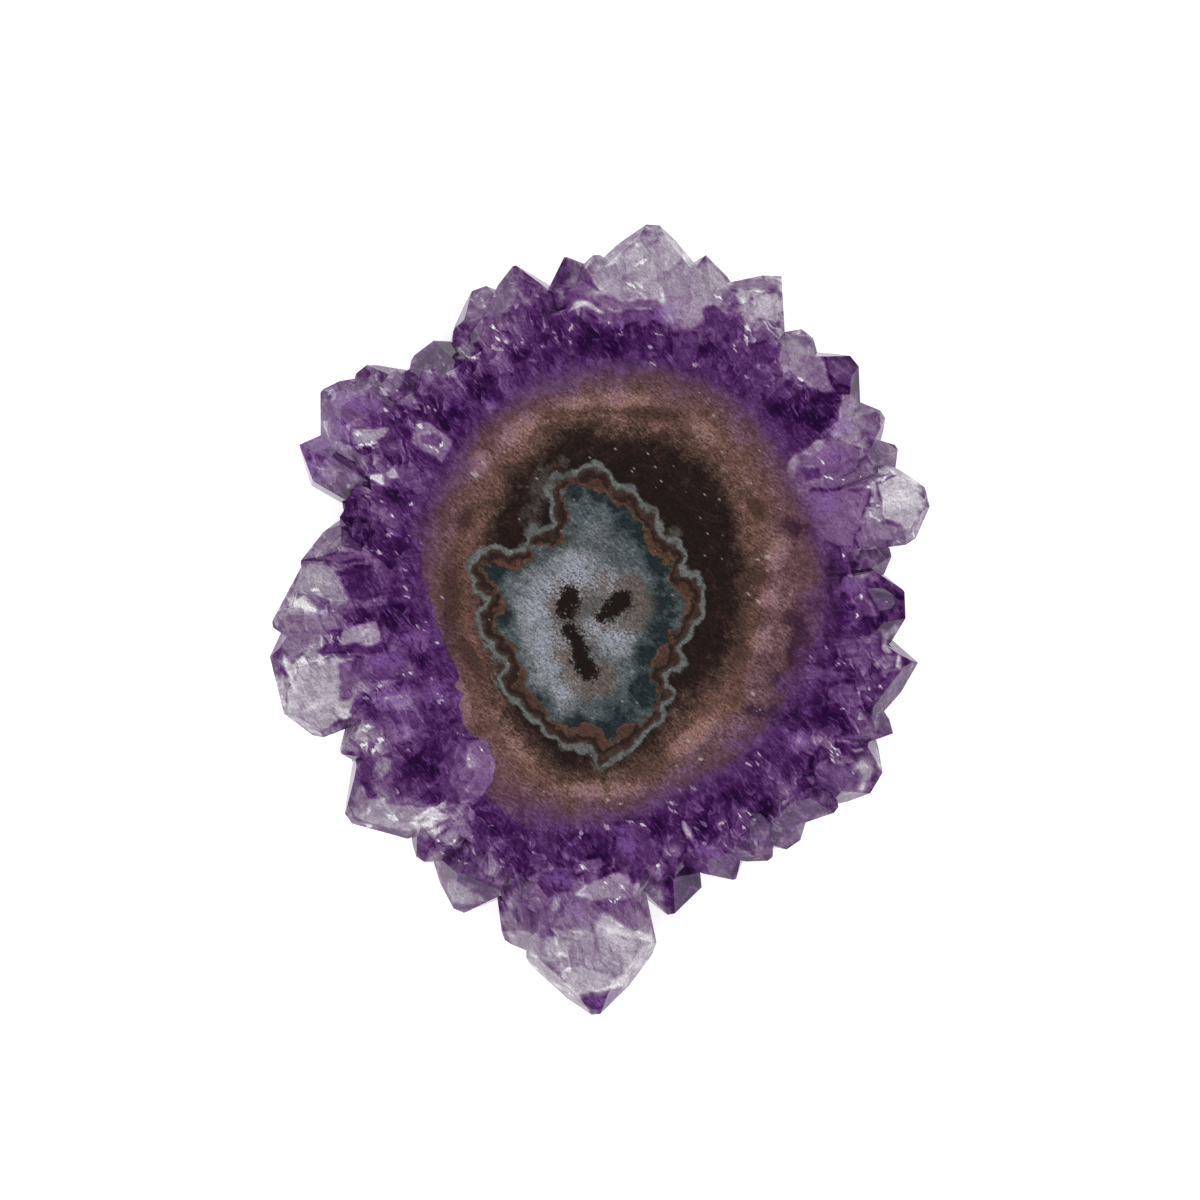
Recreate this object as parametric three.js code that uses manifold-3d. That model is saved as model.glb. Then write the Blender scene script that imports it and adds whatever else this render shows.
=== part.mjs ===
// Crystal stalactite slice: a slab sawn straight across a quartz stalactite.
// An opaque banded agate core fills the middle. Around it stands one crust of amethyst, whose six-sided
// crystals grew outwards side by side and into each other, so the crust is one solid. Both saw cuts are
// flat: the slice lies on the lower one. Between the cuts the rim shows the crystals' own faces.
//
// Millimetres, +Z up. The origin is in the lower cut, at the middle of the slice's length and width.

import * as THREE from "three";
import { mergeVertices } from "three/addons/utils/BufferGeometryUtils.js";
import Module from "manifold-3d";

// ---- driving dimensions ----
const THICKNESS = 7; // between the two saw cuts
const CORE_GAP = 0.3; // air between the core and the crust around it
const ROOT_DEPTH = 3; // the crystals start this far inside the core's outline, and are cut off at the core
const FACE_ANGLE = THREE.MathUtils.degToRad(38.2); // between a quartz crystal's end faces and its axis
const UNEVEN = [0, 0.9, 0.25, 0.7, 0.1, 1]; // how unevenly a crystal's six end faces are set back
const ROOT_GIRTH = 0.62; // a crystal's radius at its root, as a share of its radius at the shoulder
const OUTLINE_STEPS = 90; // straight steps round a smooth outline
const OVERSHOOT = 1; // how far a cutting body runs past what it cuts
const SMALLEST_DETAIL = 0.02; // slivers under this are merged away

// The core's radius at every 20 degrees, starting at +X and going anticlockwise.
const CORE_RADII = [
  15.2, 16.4, 18.1, 19.4, 19.3, 18.2, 16.4, 15.1, 13.7, 13.1, 12.2, 13.4, 14.6, 15.5, 14.7, 14.0, 14.5, 14.6,
];

// How far the mass of small crystals reaches at the same bearings, which is the depth of the notches.
const NOTCH_RADII = [
  23.4, 23.2, 26.2, 27.4, 29.0, 27.4, 26.0, 26.6, 22.6, 25.4, 23.4, 23.8, 23.6, 24.8, 23.2, 22.4, 23.4, 23.8,
];

// The large crystals, anticlockwise. at is the tip's bearing in degrees from +X and reach its distance from
// the axis, girth is the radius across the corners, level is the tip's height, lean tilts the crystal up,
// swing turns it sideways and roll turns it about its own axis. skew sets the end faces back unevenly, and
// ridge sets back those that look up and down, which draws the tip out into an edge.
const LARGE_CRYSTALS = [
  { at: 0.8, reach: 24.2, girth: 5.2, level: 5.0, lean: 4, swing: 1, roll: 10, skew: 1.2, ridge: 3.0 },
  { at: 12.5, reach: 23.7, girth: 2.6, level: 3.6, lean: -4, swing: 0, roll: 18, skew: 0.8, ridge: 1.0 },
  { at: 20.3, reach: 27.6, girth: 3.8, level: 5.4, lean: -3, swing: -7, roll: 24, skew: 1.2, ridge: 1.8 },
  { at: 29.5, reach: 27.3, girth: 3.6, level: 3.2, lean: -10, swing: -4, roll: 5, skew: 0.6, ridge: 1.0 },
  { at: 36.5, reach: 27.7, girth: 3.8, level: 4.9, lean: 4, swing: -3, roll: 40, skew: 0.8, ridge: 1.0 },
  { at: 45, reach: 28.6, girth: 4.6, level: 5.6, lean: -2, swing: -8, roll: 16, skew: 1.2, ridge: 1.6 },
  { at: 53.5, reach: 28.0, girth: 3.8, level: 4.4, lean: -8, swing: -4, roll: 12, skew: 0.8, ridge: 1.6 },
  { at: 62.5, reach: 30.8, girth: 4.3, level: 5.3, lean: -4, swing: -8, roll: 52, skew: 0.8, ridge: 0.0 },
  { at: 74, reach: 30.2, girth: 4.0, level: 4.2, lean: 2, swing: 6, roll: 20, skew: 1.2, ridge: 0.6 },
  { at: 83, reach: 31.5, girth: 6.4, level: 5.7, lean: -2, swing: 4, roll: 33, skew: 1.2, ridge: 1.4 },
  { at: 91, reach: 28.9, girth: 3.0, level: 5.6, lean: 2, swing: 4, roll: 26, skew: 0.8, ridge: 0.8 },
  { at: 95.5, reach: 29.0, girth: 3.2, level: 4.8, lean: 4, swing: 6, roll: 3, skew: 0.4, ridge: 0.6 },
  { at: 104.5, reach: 29.0, girth: 3.6, level: 4.6, lean: 2, swing: 4, roll: 47, skew: 0.6, ridge: 0.6 },
  { at: 110.5, reach: 28.3, girth: 3.4, level: 2.4, lean: -10, swing: -2, roll: 27, skew: 0.6, ridge: 1.2 },
  { at: 122.5, reach: 26.1, girth: 4.6, level: 1.6, lean: -12, swing: -1, roll: 12, skew: 0.8, ridge: 2.6 },
  { at: 134.5, reach: 27.8, girth: 3.8, level: 3.6, lean: 2, swing: -6, roll: 36, skew: 0.8, ridge: 1.2 },
  { at: 142, reach: 28.8, girth: 4.0, level: 4.6, lean: -4, swing: 6, roll: 58, skew: 0.8, ridge: 2.2 },
  { at: 149.8, reach: 27.9, girth: 2.9, level: 4.4, lean: 3, swing: -3, roll: 9, skew: 1.2, ridge: 0.8 },
  { at: 156.5, reach: 22.8, girth: 2.6, level: 4.0, lean: 0, swing: 0, roll: 50, skew: 1.0, ridge: 1.2 },
  { at: 163, reach: 23.2, girth: 2.8, level: 3.0, lean: -6, swing: 4, roll: 33, skew: 1.2, ridge: 0.8 },
  { at: 169.5, reach: 24.5, girth: 3.6, level: 5.0, lean: 8, swing: 6, roll: 21, skew: 1.4, ridge: 1.0 },
  { at: 179.5, reach: 26.3, girth: 5.4, level: 5.9, lean: 2, swing: 5, roll: 0, skew: 1.4, ridge: 2.2 },
  { at: 192, reach: 26.4, girth: 5.8, level: 5.7, lean: -2, swing: 2, roll: 30, skew: 1.6, ridge: 4.2 },
  { at: 207, reach: 23.4, girth: 3.2, level: 5.4, lean: 2, swing: -6, roll: 22, skew: 1.4, ridge: 1.0 },
  { at: 219.5, reach: 25.8, girth: 5.0, level: 4.9, lean: -4, swing: 0, roll: 44, skew: 1.4, ridge: 1.6 },
  { at: 233.5, reach: 24.1, girth: 3.0, level: 5.2, lean: 3, swing: 4, roll: 38, skew: 0.8, ridge: 1.0 },
  { at: 243.5, reach: 26.2, girth: 4.2, level: 3.0, lean: -9, swing: 0, roll: 17, skew: 0.8, ridge: 1.2 },
  { at: 259, reach: 27.6, girth: 2.8, level: 3.4, lean: -6, swing: 22, roll: 8, skew: 1.2, ridge: 0.4 },
  { at: 269.3, reach: 31.6, girth: 6.1, level: 5.0, lean: -1, swing: 6, roll: 30, skew: 1.4, ridge: 1.2 },
  { at: 284.2, reach: 24.4, girth: 3.0, level: 4.2, lean: 6, swing: -3, roll: 50, skew: 1.0, ridge: 1.2 },
  { at: 296.5, reach: 23.4, girth: 3.5, level: 4.6, lean: -3, swing: -4, roll: 14, skew: 1.0, ridge: 0.8 },
  { at: 304.5, reach: 23.5, girth: 2.8, level: 4.4, lean: -3, swing: 2, roll: 14, skew: 0.6, ridge: 0.8 },
  { at: 311, reach: 23.9, girth: 4.0, level: 2.6, lean: -8, swing: -4, roll: 41, skew: 1.0, ridge: 1.6 },
  { at: 319.5, reach: 24.2, girth: 3.8, level: 4.7, lean: 2, swing: 2, roll: 6, skew: 1.2, ridge: 1.6 },
  { at: 329, reach: 25.6, girth: 3.8, level: 4.1, lean: -4, swing: 0, roll: 28, skew: 1.0, ridge: 1.9 },
  { at: 338.5, reach: 25.0, girth: 2.6, level: 4.9, lean: 4, swing: 4, roll: 55, skew: 0.6, ridge: 0.0 },
  { at: 352, reach: 25.4, girth: 4.8, level: 5.2, lean: -2, swing: 14, roll: 19, skew: 1.6, ridge: 0.4 },
];

// Small crystals fill the notches, in rings one above the other.
const SMALL_RINGS = [
  { level: 0.4, lean: -14, count: 36 },
  { level: 2.4, lean: -5, count: 38 },
  { level: 4.5, lean: 5, count: 38 },
  { level: 6.5, lean: 14, count: 36 },
];
const SMALL_GIRTH = { least: 1.4, most: 3.0 };
const SMALL_SPREAD = { level: 1.2, lean: 16, swing: 20, roll: 60, skew: 1.2, ridge: 1.6 }; // least to most
const UNEVEN_SPACING = 0.8; // as a share of the space between two small crystals
const SMALL_SHORTFALL = 2.2; // the shortest small crystals stop this far inside the notch radius
const BED_INSET = 3; // the solid quartz that the crystals grow from stops this far inside the notch radius
const SEED = 20;

const UP = new THREE.Vector3(0, 0, 1);
const wasm = await Module();
wasm.setup();

// ---- helpers ----

// Repeatable numbers from 0 to 1, so that the slice is the same each time it is built.
function seeded(seed) {
  let state = seed;
  return () => {
    state = (state * 1664525 + 1013904223) % 4294967296;
    return state / 4294967296;
  };
}

// A closed three.js geometry as a solid that can be joined and cut.
function solid(geometry) {
  const bare = geometry.index ? geometry.toNonIndexed() : geometry.clone();
  bare.deleteAttribute("normal");
  bare.deleteAttribute("uv");
  const merged = mergeVertices(bare, 1e-4);
  return new wasm.Manifold(
    new wasm.Mesh({
      numProp: 3,
      vertProperties: merged.attributes.position.array,
      triVerts: new Uint32Array(merged.index.array),
    }),
  );
}

function geometryOf(manifold) {
  const mesh = manifold.getMesh();
  const geometry = new THREE.BufferGeometry();
  geometry.setAttribute("position", new THREE.BufferAttribute(mesh.vertProperties, 3));
  geometry.setIndex(new THREE.BufferAttribute(mesh.triVerts, 1));
  geometry.computeVertexNormals();
  return geometry;
}

// A closed smooth outline through radii that are spaced evenly round the axis.
function outline(radii, offset) {
  const points = radii.map((radius, i) => {
    const angle = (i / radii.length) * 2 * Math.PI;
    return new THREE.Vector3(Math.cos(angle), Math.sin(angle), 0).multiplyScalar(radius + offset);
  });
  const curve = new THREE.CatmullRomCurve3(points, true, "centripetal");
  const around = curve.getPoints(OUTLINE_STEPS).slice(0, OUTLINE_STEPS);
  return new THREE.Shape(around.map((p) => new THREE.Vector2(p.x, p.y)));
}

// The radius of such an outline at one bearing, in degrees.
function radiusAt(radii, bearing) {
  const place = (((bearing % 360) + 360) % 360) / (360 / radii.length);
  const before = Math.floor(place);
  const after = (before + 1) % radii.length;
  return THREE.MathUtils.lerp(radii[before], radii[after], place - before);
}

// A straight-sided plate of an outline, from one height to another.
function plate(shape, from, to) {
  const geometry = new THREE.ExtrudeGeometry(shape, { depth: to - from, bevelEnabled: false });
  return geometry.translate(0, 0, from);
}

// ---- sub-parts ----

// One quartz crystal: a six-sided prism, a little slimmer at its root, cut to a point by six end faces.
function crystal({ at, reach, girth, level, lean, swing, roll, skew, ridge }) {
  const length = reach - radiusAt(CORE_RADII, at) + ROOT_DEPTH;
  const prism = new THREE.CylinderGeometry(girth, girth * ROOT_GIRTH, length, 6);
  prism.translate(0, length / 2, 0);
  let body = solid(prism);
  for (let face = 0; face < 6; face++) {
    const around = ((face + 0.5) * Math.PI) / 3;
    const normal = new THREE.Vector3(
      Math.cos(FACE_ANGLE) * Math.sin(around),
      Math.sin(FACE_ANGLE),
      Math.cos(FACE_ANGLE) * Math.cos(around),
    );
    const upright = Math.cos(around + THREE.MathUtils.degToRad(roll)) ** 2;
    const setBack = UNEVEN[face] * skew + upright * ridge;
    const distance = (length - setBack) * Math.sin(FACE_ANGLE);
    body = body.trimByPlane([-normal.x, -normal.y, -normal.z], -distance);
  }
  const shortfall = length - body.boundingBox().max[1];

  const heading = THREE.MathUtils.degToRad(at);
  const turned = THREE.MathUtils.degToRad(at + swing);
  const tilt = THREE.MathUtils.degToRad(lean);
  const axis = new THREE.Vector3(
    Math.cos(turned) * Math.cos(tilt),
    Math.sin(turned) * Math.cos(tilt),
    Math.sin(tilt),
  );
  const across = new THREE.Vector3().crossVectors(UP, axis).normalize();
  const over = new THREE.Vector3().crossVectors(across, axis);
  const tip = new THREE.Vector3(reach * Math.cos(heading), reach * Math.sin(heading), level);
  const place = new THREE.Matrix4()
    .makeBasis(across, axis, over)
    .setPosition(tip.addScaledVector(axis, shortfall - length))
    .multiply(new THREE.Matrix4().makeRotationY(THREE.MathUtils.degToRad(roll)));
  return body.transform(place.elements);
}

// The small crystals of one ring, each a little different from its neighbours.
function smallCrystals({ level, lean, count }, random) {
  return Array.from({ length: count }, (_, i) => {
    const at = ((i + UNEVEN_SPACING * random()) / count) * 360;
    return crystal({
      at,
      reach: radiusAt(NOTCH_RADII, at) - SMALL_SHORTFALL * random(),
      girth: THREE.MathUtils.lerp(SMALL_GIRTH.least, SMALL_GIRTH.most, random()),
      level: level + SMALL_SPREAD.level * (random() - 0.5),
      lean: lean + SMALL_SPREAD.lean * (random() - 0.5),
      swing: SMALL_SPREAD.swing * (random() - 0.5),
      roll: SMALL_SPREAD.roll * random(),
      skew: SMALL_SPREAD.skew * random(),
      ridge: SMALL_SPREAD.ridge * random(),
    });
  });
}

// The crust: every crystal and the solid quartz between their roots, sawn flat on both sides.
function amethystCrust() {
  const random = seeded(SEED);
  const bed = solid(plate(outline(NOTCH_RADII, -BED_INSET), -OVERSHOOT, THICKNESS + OVERSHOOT));
  const hole = solid(plate(outline(CORE_RADII, CORE_GAP), -OVERSHOOT, THICKNESS + OVERSHOOT));
  const crystals = LARGE_CRYSTALS.map(crystal);
  const fill = SMALL_RINGS.flatMap((ring) => smallCrystals(ring, random));
  return wasm.Manifold.union([bed, ...crystals, ...fill])
    .trimByPlane([0, 0, 1], 0)
    .trimByPlane([0, 0, -1], -THICKNESS)
    .subtract(hole)
    .simplify(SMALLEST_DETAIL);
}

// ---- assembly ----
const crust = new THREE.Mesh(
  geometryOf(amethystCrust()),
  new THREE.MeshStandardMaterial({
    color: 0x5b3a80,
    roughness: 0.12,
    metalness: 0,
    transparent: true,
    opacity: 0.8,
  }),
);
crust.name = "amethyst_crust";

const core = new THREE.Mesh(
  plate(outline(CORE_RADII, 0), 0, THICKNESS),
  new THREE.MeshStandardMaterial({ color: 0x5a4640, roughness: 0.3, metalness: 0 }),
);
core.name = "agate_core";

const slice = new THREE.Group();
slice.add(core, crust);

// The crystals' tips decide the outline, so the finished slice is centred on it.
const middle = new THREE.Box3().setFromObject(slice).getCenter(new THREE.Vector3());
slice.position.set(-middle.x, -middle.y, 0);

export default slice;
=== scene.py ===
"""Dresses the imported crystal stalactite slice: its agate core, its amethyst crust and a pale stage."""

import itertools
import math
from collections import namedtuple

import bmesh
import bpy
import numpy as np
from bpy.props import FloatProperty, PointerProperty, StringProperty
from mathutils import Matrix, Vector


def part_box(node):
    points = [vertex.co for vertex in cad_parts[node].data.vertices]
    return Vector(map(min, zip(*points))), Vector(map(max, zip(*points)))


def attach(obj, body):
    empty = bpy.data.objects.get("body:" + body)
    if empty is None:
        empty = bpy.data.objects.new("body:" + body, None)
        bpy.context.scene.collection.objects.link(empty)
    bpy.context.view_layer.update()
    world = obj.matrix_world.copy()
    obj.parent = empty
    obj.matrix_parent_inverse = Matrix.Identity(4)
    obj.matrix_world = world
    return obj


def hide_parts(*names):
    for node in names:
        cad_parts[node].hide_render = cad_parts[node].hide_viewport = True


bl_info = {
    "name": "Crystal stalactite slice",
    "version": (1, 0, 0),
    "blender": (4, 5, 0),
    "location": "View3D > Sidebar > Slice",
    "description": "Agate core, amethyst crust and stage for a slice sawn across a quartz stalactite",
    "category": "Object",
}

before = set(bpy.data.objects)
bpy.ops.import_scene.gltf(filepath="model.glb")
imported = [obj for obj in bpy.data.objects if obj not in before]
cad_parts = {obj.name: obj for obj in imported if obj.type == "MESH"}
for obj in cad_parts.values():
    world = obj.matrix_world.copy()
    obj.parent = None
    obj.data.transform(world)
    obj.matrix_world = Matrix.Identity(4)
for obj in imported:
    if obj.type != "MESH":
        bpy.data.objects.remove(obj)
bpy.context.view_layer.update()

MM = 0.001
CORE_NODE = "agate_core"
CRUST_NODE = "amethyst_crust"
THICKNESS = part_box(CORE_NODE)[1].z / MM

FAR = 1e9  # farther than anything here reaches
TINY = 1e-9  # anything smaller is only rounding
TOUCHING = 0.001  # points this near each other, in millimetres, are the same point
SPLITTING = 0.0001  # points this near a plane, in millimetres, lie on it
UPRIGHT = 0.999  # the least height of a unit normal that counts as straight up or down
ONE_FACE = 0.005  # faces whose directions differ by less, in radians, are one flat face

# The slice's own middle, which the radii and bearings below go round, in the row frame.
AXIS = (0.18, 0.18)

# How often the squares of the upper and of the lower cut are divided, and at most how often the long edges of
# the crystals' own faces are halved.
CORE_FINENESS = (5, 2)
CRUST_FINENESS = (6, 1)
MOST_HALVINGS = 5

# ---- the core, in millimetres ----

# Radii at every 20 degrees from +X, anticlockwise: the core's edge, and the edge of the dark agate in it.
CORE_RADII = [
    15.2, 16.4, 18.1, 19.4, 19.3, 18.2, 16.4, 15.1, 13.7,
    13.1, 12.2, 13.4, 14.6, 15.5, 14.7, 14.0, 14.5, 14.6,
]
DARK_RADII = [
    10.7, 11.7, 13.3, 14.6, 14.9, 14.8, 13.0, 11.3, 9.2,
    9.0, 8.6, 9.7, 10.9, 11.9, 11.4, 9.6, 9.3, 10.1,
]

# The middle of the thin grey-green band round the nodule, clockwise from its top.
NODULE = [
    (-0.3, 12.3), (0.4, 12.1), (1.1, 11.2), (2.3, 10.4), (3.1, 9.6), (4.3, 8.3), (4.9, 7.0), (5.1, 6.5),
    (6.2, 6.0), (6.8, 5.0), (6.6, 3.8), (7.5, 3.5), (8.2, 2.7), (8.3, 1.4), (7.8, 0.1), (7.3, -0.9),
    (6.4, -2.1), (6.6, -3.0), (6.2, -4.0), (5.2, -4.5), (5.5, -5.3), (5.8, -6.1), (5.1, -7.4), (4.2, -8.5),
    (3.1, -9.6), (2.1, -10.5), (0.9, -11.0), (0.1, -11.4), (-0.6, -10.5), (-1.2, -10.2), (-2.3, -10.1),
    (-3.4, -9.6), (-4.4, -8.9), (-5.5, -7.8), (-6.7, -6.8), (-7.6, -5.6), (-7.9, -4.6), (-7.3, -3.7),
    (-8.4, -2.7), (-8.9, -1.7), (-9.6, -0.7), (-9.8, 0.3), (-9.3, 1.1), (-8.9, 1.7), (-9.6, 2.3),
    (-10.1, 3.2), (-10.5, 4.3), (-9.9, 5.1), (-8.9, 5.6), (-7.8, 6.0), (-7.0, 5.5), (-6.3, 6.0),
    (-5.8, 6.8), (-5.0, 7.2), (-4.2, 7.2), (-3.6, 7.9), (-4.0, 8.7), (-4.1, 9.6), (-4.2, 10.5),
    (-3.6, 11.2), (-2.6, 11.6), (-1.5, 12.1),
]

# The dark spots in the nodule, each a chain of (x, y, radius).
SPOTS = [
    [(-2.4, 1.7, 0.85), (-2.7, 0.7, 0.6)],
    [(0.1, 0.3, 0.45), (0.9, 0.9, 0.75), (1.8, 1.6, 0.75)],
    [(-2.4, -0.7, 0.5), (-1.9, -1.6, 0.55), (-1.6, -2.4, 0.6), (-1.5, -3.3, 0.75), (-0.8, -4.2, 0.6)],
]

# Soft patches of colour in the nodule, each (x, y, radius).
CHALCEDONY = [
    (-2.0, 3.8, 2.6), (-4.6, 2.4, 2.4), (-5.2, 0.8, 2.4), (-4.4, -1.6, 2.2), (-4.2, -3.6, 2.0),
    (-3.0, -5.6, 2.0), (1.2, -1.6, 1.9), (0.3, 3.0, 1.6), (-0.2, -0.6, 1.4),
]
TEAL = [
    (-8.5, 3.9, 1.5), (-1.9, 10.2, 1.0), (-0.3, 10.2, 1.1), (1.5, 9.4, 1.2), (1.8, 7.4, 1.5), (3.2, 7.0, 1.5),
    (4.8, 4.7, 1.5), (4.8, 1.4, 1.9), (4.6, -0.9, 1.6), (-7.4, 0.2, 1.1), (3.7, -5.6, 2.0), (1.5, -7.4, 1.8),
    (0.6, -8.6, 1.3), (-1.8, -8.3, 1.2), (-4.3, -6.3, 1.2), (3.4, -2.6, 1.6),
]
RUST = [
    (-3.4, 0.9, 0.8), (2.4, 2.8, 1.5), (3.2, 1.2, 1.8), (2.8, -0.6, 1.4), (-2.9, -2.8, 1.0),
    (-2.5, -4.6, 1.0), (-1.2, -5.6, 1.4), (0.6, -4.8, 1.6), (0.4, 6.0, 1.0), (-1.9, 6.2, 0.8),
    (0.2, 3.2, 1.1),
]

# Where the rust-brown band widens inwards.
POCKETS = [
    (-0.6, 11.0, 1.4), (6.8, 2.9, 1.5), (5.2, -3.2, 1.3), (-1.0, -9.4, 1.6), (2.2, -8.9, 1.2),
    (-6.5, -5.4, 1.6), (-5.2, -7.2, 1.2), (-7.6, -2.2, 1.1), (-7.4, 5.2, 1.1), (-3.6, 8.2, 1.0),
    (4.6, 6.4, 0.9), (-4.6, 6.6, 0.9),
]

# Greenish blurs outside the thin band.
BLUR = [
    (-5.4, 10.6, 1.9), (-4.8, 12.0, 1.5), (-5.8, 8.8, 1.8), (-3.0, 12.8, 1.0), (0.0, -11.9, 0.7),
    (6.0, 7.0, 0.9),
]

# How far the brown halo reaches beyond the core's edge at the same bearings, and how crisp its end is.
HALO_REACH = [1.1, 0.8, 0.0, 0.0, 0.0, 0.4, 0.8, 0.5, 0.4, 0.1, 0.0, 0.0, 0.2, 0.0, 0.0, 0.1, 0.2, 0.5]
CRISPNESS = [0.2, 0.3, 0.1, 0.0, 0.0, 0.0, 0.0, 0.1, 0.5, 1.0, 1.0, 1.0, 0.9, 0.1, 0.0, 0.0, 0.0, 0.1]

# Where the halo is darker or lighter: x, y, length, width and the angle of the length to +X.
HALO_DARK = [
    (11.0, 0.5, 14.0, 2.2, 88), (4.0, 16.4, 7.0, 1.6, -6), (15.9, -1.6, 9.0, 2.0, 92),
    (14.6, -8.4, 5.0, 1.8, 60), (15.3, 7.4, 2.8, 1.8, -40), (12.2, 3.4, 2.6, 1.8, 10),
    (15.2, 0.2, 2.6, 2.0, 0), (17.0, 1.4, 1.8, 2.4, 0), (15.4, -2.6, 1.8, 5.0, 0),
    (14.4, -4.8, 3.0, 2.2, -20), (14.2, -7.4, 3.8, 1.8, 10), (18.6, 3.8, 4.4, 2.0, 75),
    (17.2, 6.7, 4.0, 1.5, -32), (12.4, 9.0, 3.0, 1.6, -50), (-11.8, 1.0, 11.0, 2.4, 88),
    (-10.4, -2.8, 6.0, 1.6, -62), (12.2, -7.2, 2.4, 1.4, 0), (-10.6, 8.0, 3.0, 2.0, 60),
    (-3.4, -16.6, 3.0, 1.2, 0), (13.8, -8.8, 2.6, 1.2, 20),
]
HALO_MAUVE = [(14.2, -0.5, 22.0, 8.0, 88), (10.2, -10.0, 9.0, 4.4, 42)]
HALO_PALE = [
    (-6.8, -9.4, 8.0, 1.6, -58), (7.4, -9.2, 6.0, 2.2, 40), (0.0, -13.4, 9.0, 2.0, 0),
    (-11.0, -6.4, 5.0, 1.6, -75), (14.0, 5.4, 3.6, 2.6, 70), (13.4, 1.8, 2.0, 2.4, 0),
    (12.6, -1.6, 2.6, 2.4, 0), (-6.4, 15.0, 5.0, 2.6, 35), (-9.6, 12.6, 2.6, 2.0, 40),
    (2.0, 17.4, 6.0, 2.0, -5), (8.2, 15.0, 4.0, 2.0, -40), (-1.8, 17.2, 4.0, 1.4, 10),
]

# A film of quartz that laps over the halo's end on the left, with a ragged edge.
FILM = [
    (-14.1, 6.0), (-14.2, 5.0), (-13.9, 4.4), (-14.1, 3.6), (-13.5, 2.8), (-13.6, 1.8), (-13.3, 1.2),
    (-12.9, 0.2), (-13.0, -0.2), (-12.5, -0.8), (-12.6, -1.4), (-12.1, -2.1), (-12.1, -2.6), (-11.6, -3.3),
    (-11.1, -4.5), (-11.5, -5.1), (-11.0, -5.9), (-11.2, -6.8), (-10.9, -7.4), (-10.9, -8.2), (-10.4, -8.8),
    (-10.3, -9.2), (-9.6, -9.3), (-9.1, -9.4), (-8.6, -10.1), (-8.6, -10.6), (-8.2, -11.3), (-8.4, -12.0),
    (-8.3, -12.8), (-8.8, -13.3), (-9.2, -13.9), (-10.2, -14.8), (-12.0, -18.0), (-30.0, -40.0),
    (-40.0, 10.0), (-20.0, 9.0),
]

# ---- the crust, in millimetres and degrees ----

# How far the mass of small crystals reaches at the same bearings.
NOTCH_RADII = [
    23.4, 23.2, 26.2, 27.4, 29.0, 27.4, 26.0, 26.6, 22.6,
    25.4, 23.4, 23.8, 23.6, 24.8, 23.2, 22.4, 23.4, 23.8,
]

# Points nearer than this to the core's edge are on the wall of the crust's hole. The crust's cuts are set
# back a little.
HOLE_WALL = 0.8
SET_BACK = 0.01

# How the crystals grew: how deep inside the core's edge they start, the angle of their end faces to their
# axis, how unevenly those are set back, and a crystal's radius at its root as a share of the full one.
ROOT_DEPTH = 3.0
FACE_ANGLE = math.radians(38.2)
UNEVEN = (0, 0.9, 0.25, 0.7, 0.1, 1)
ROOT_GIRTH = 0.62
Crystal = namedtuple("Crystal", "normals offsets tip axis across")

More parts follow.
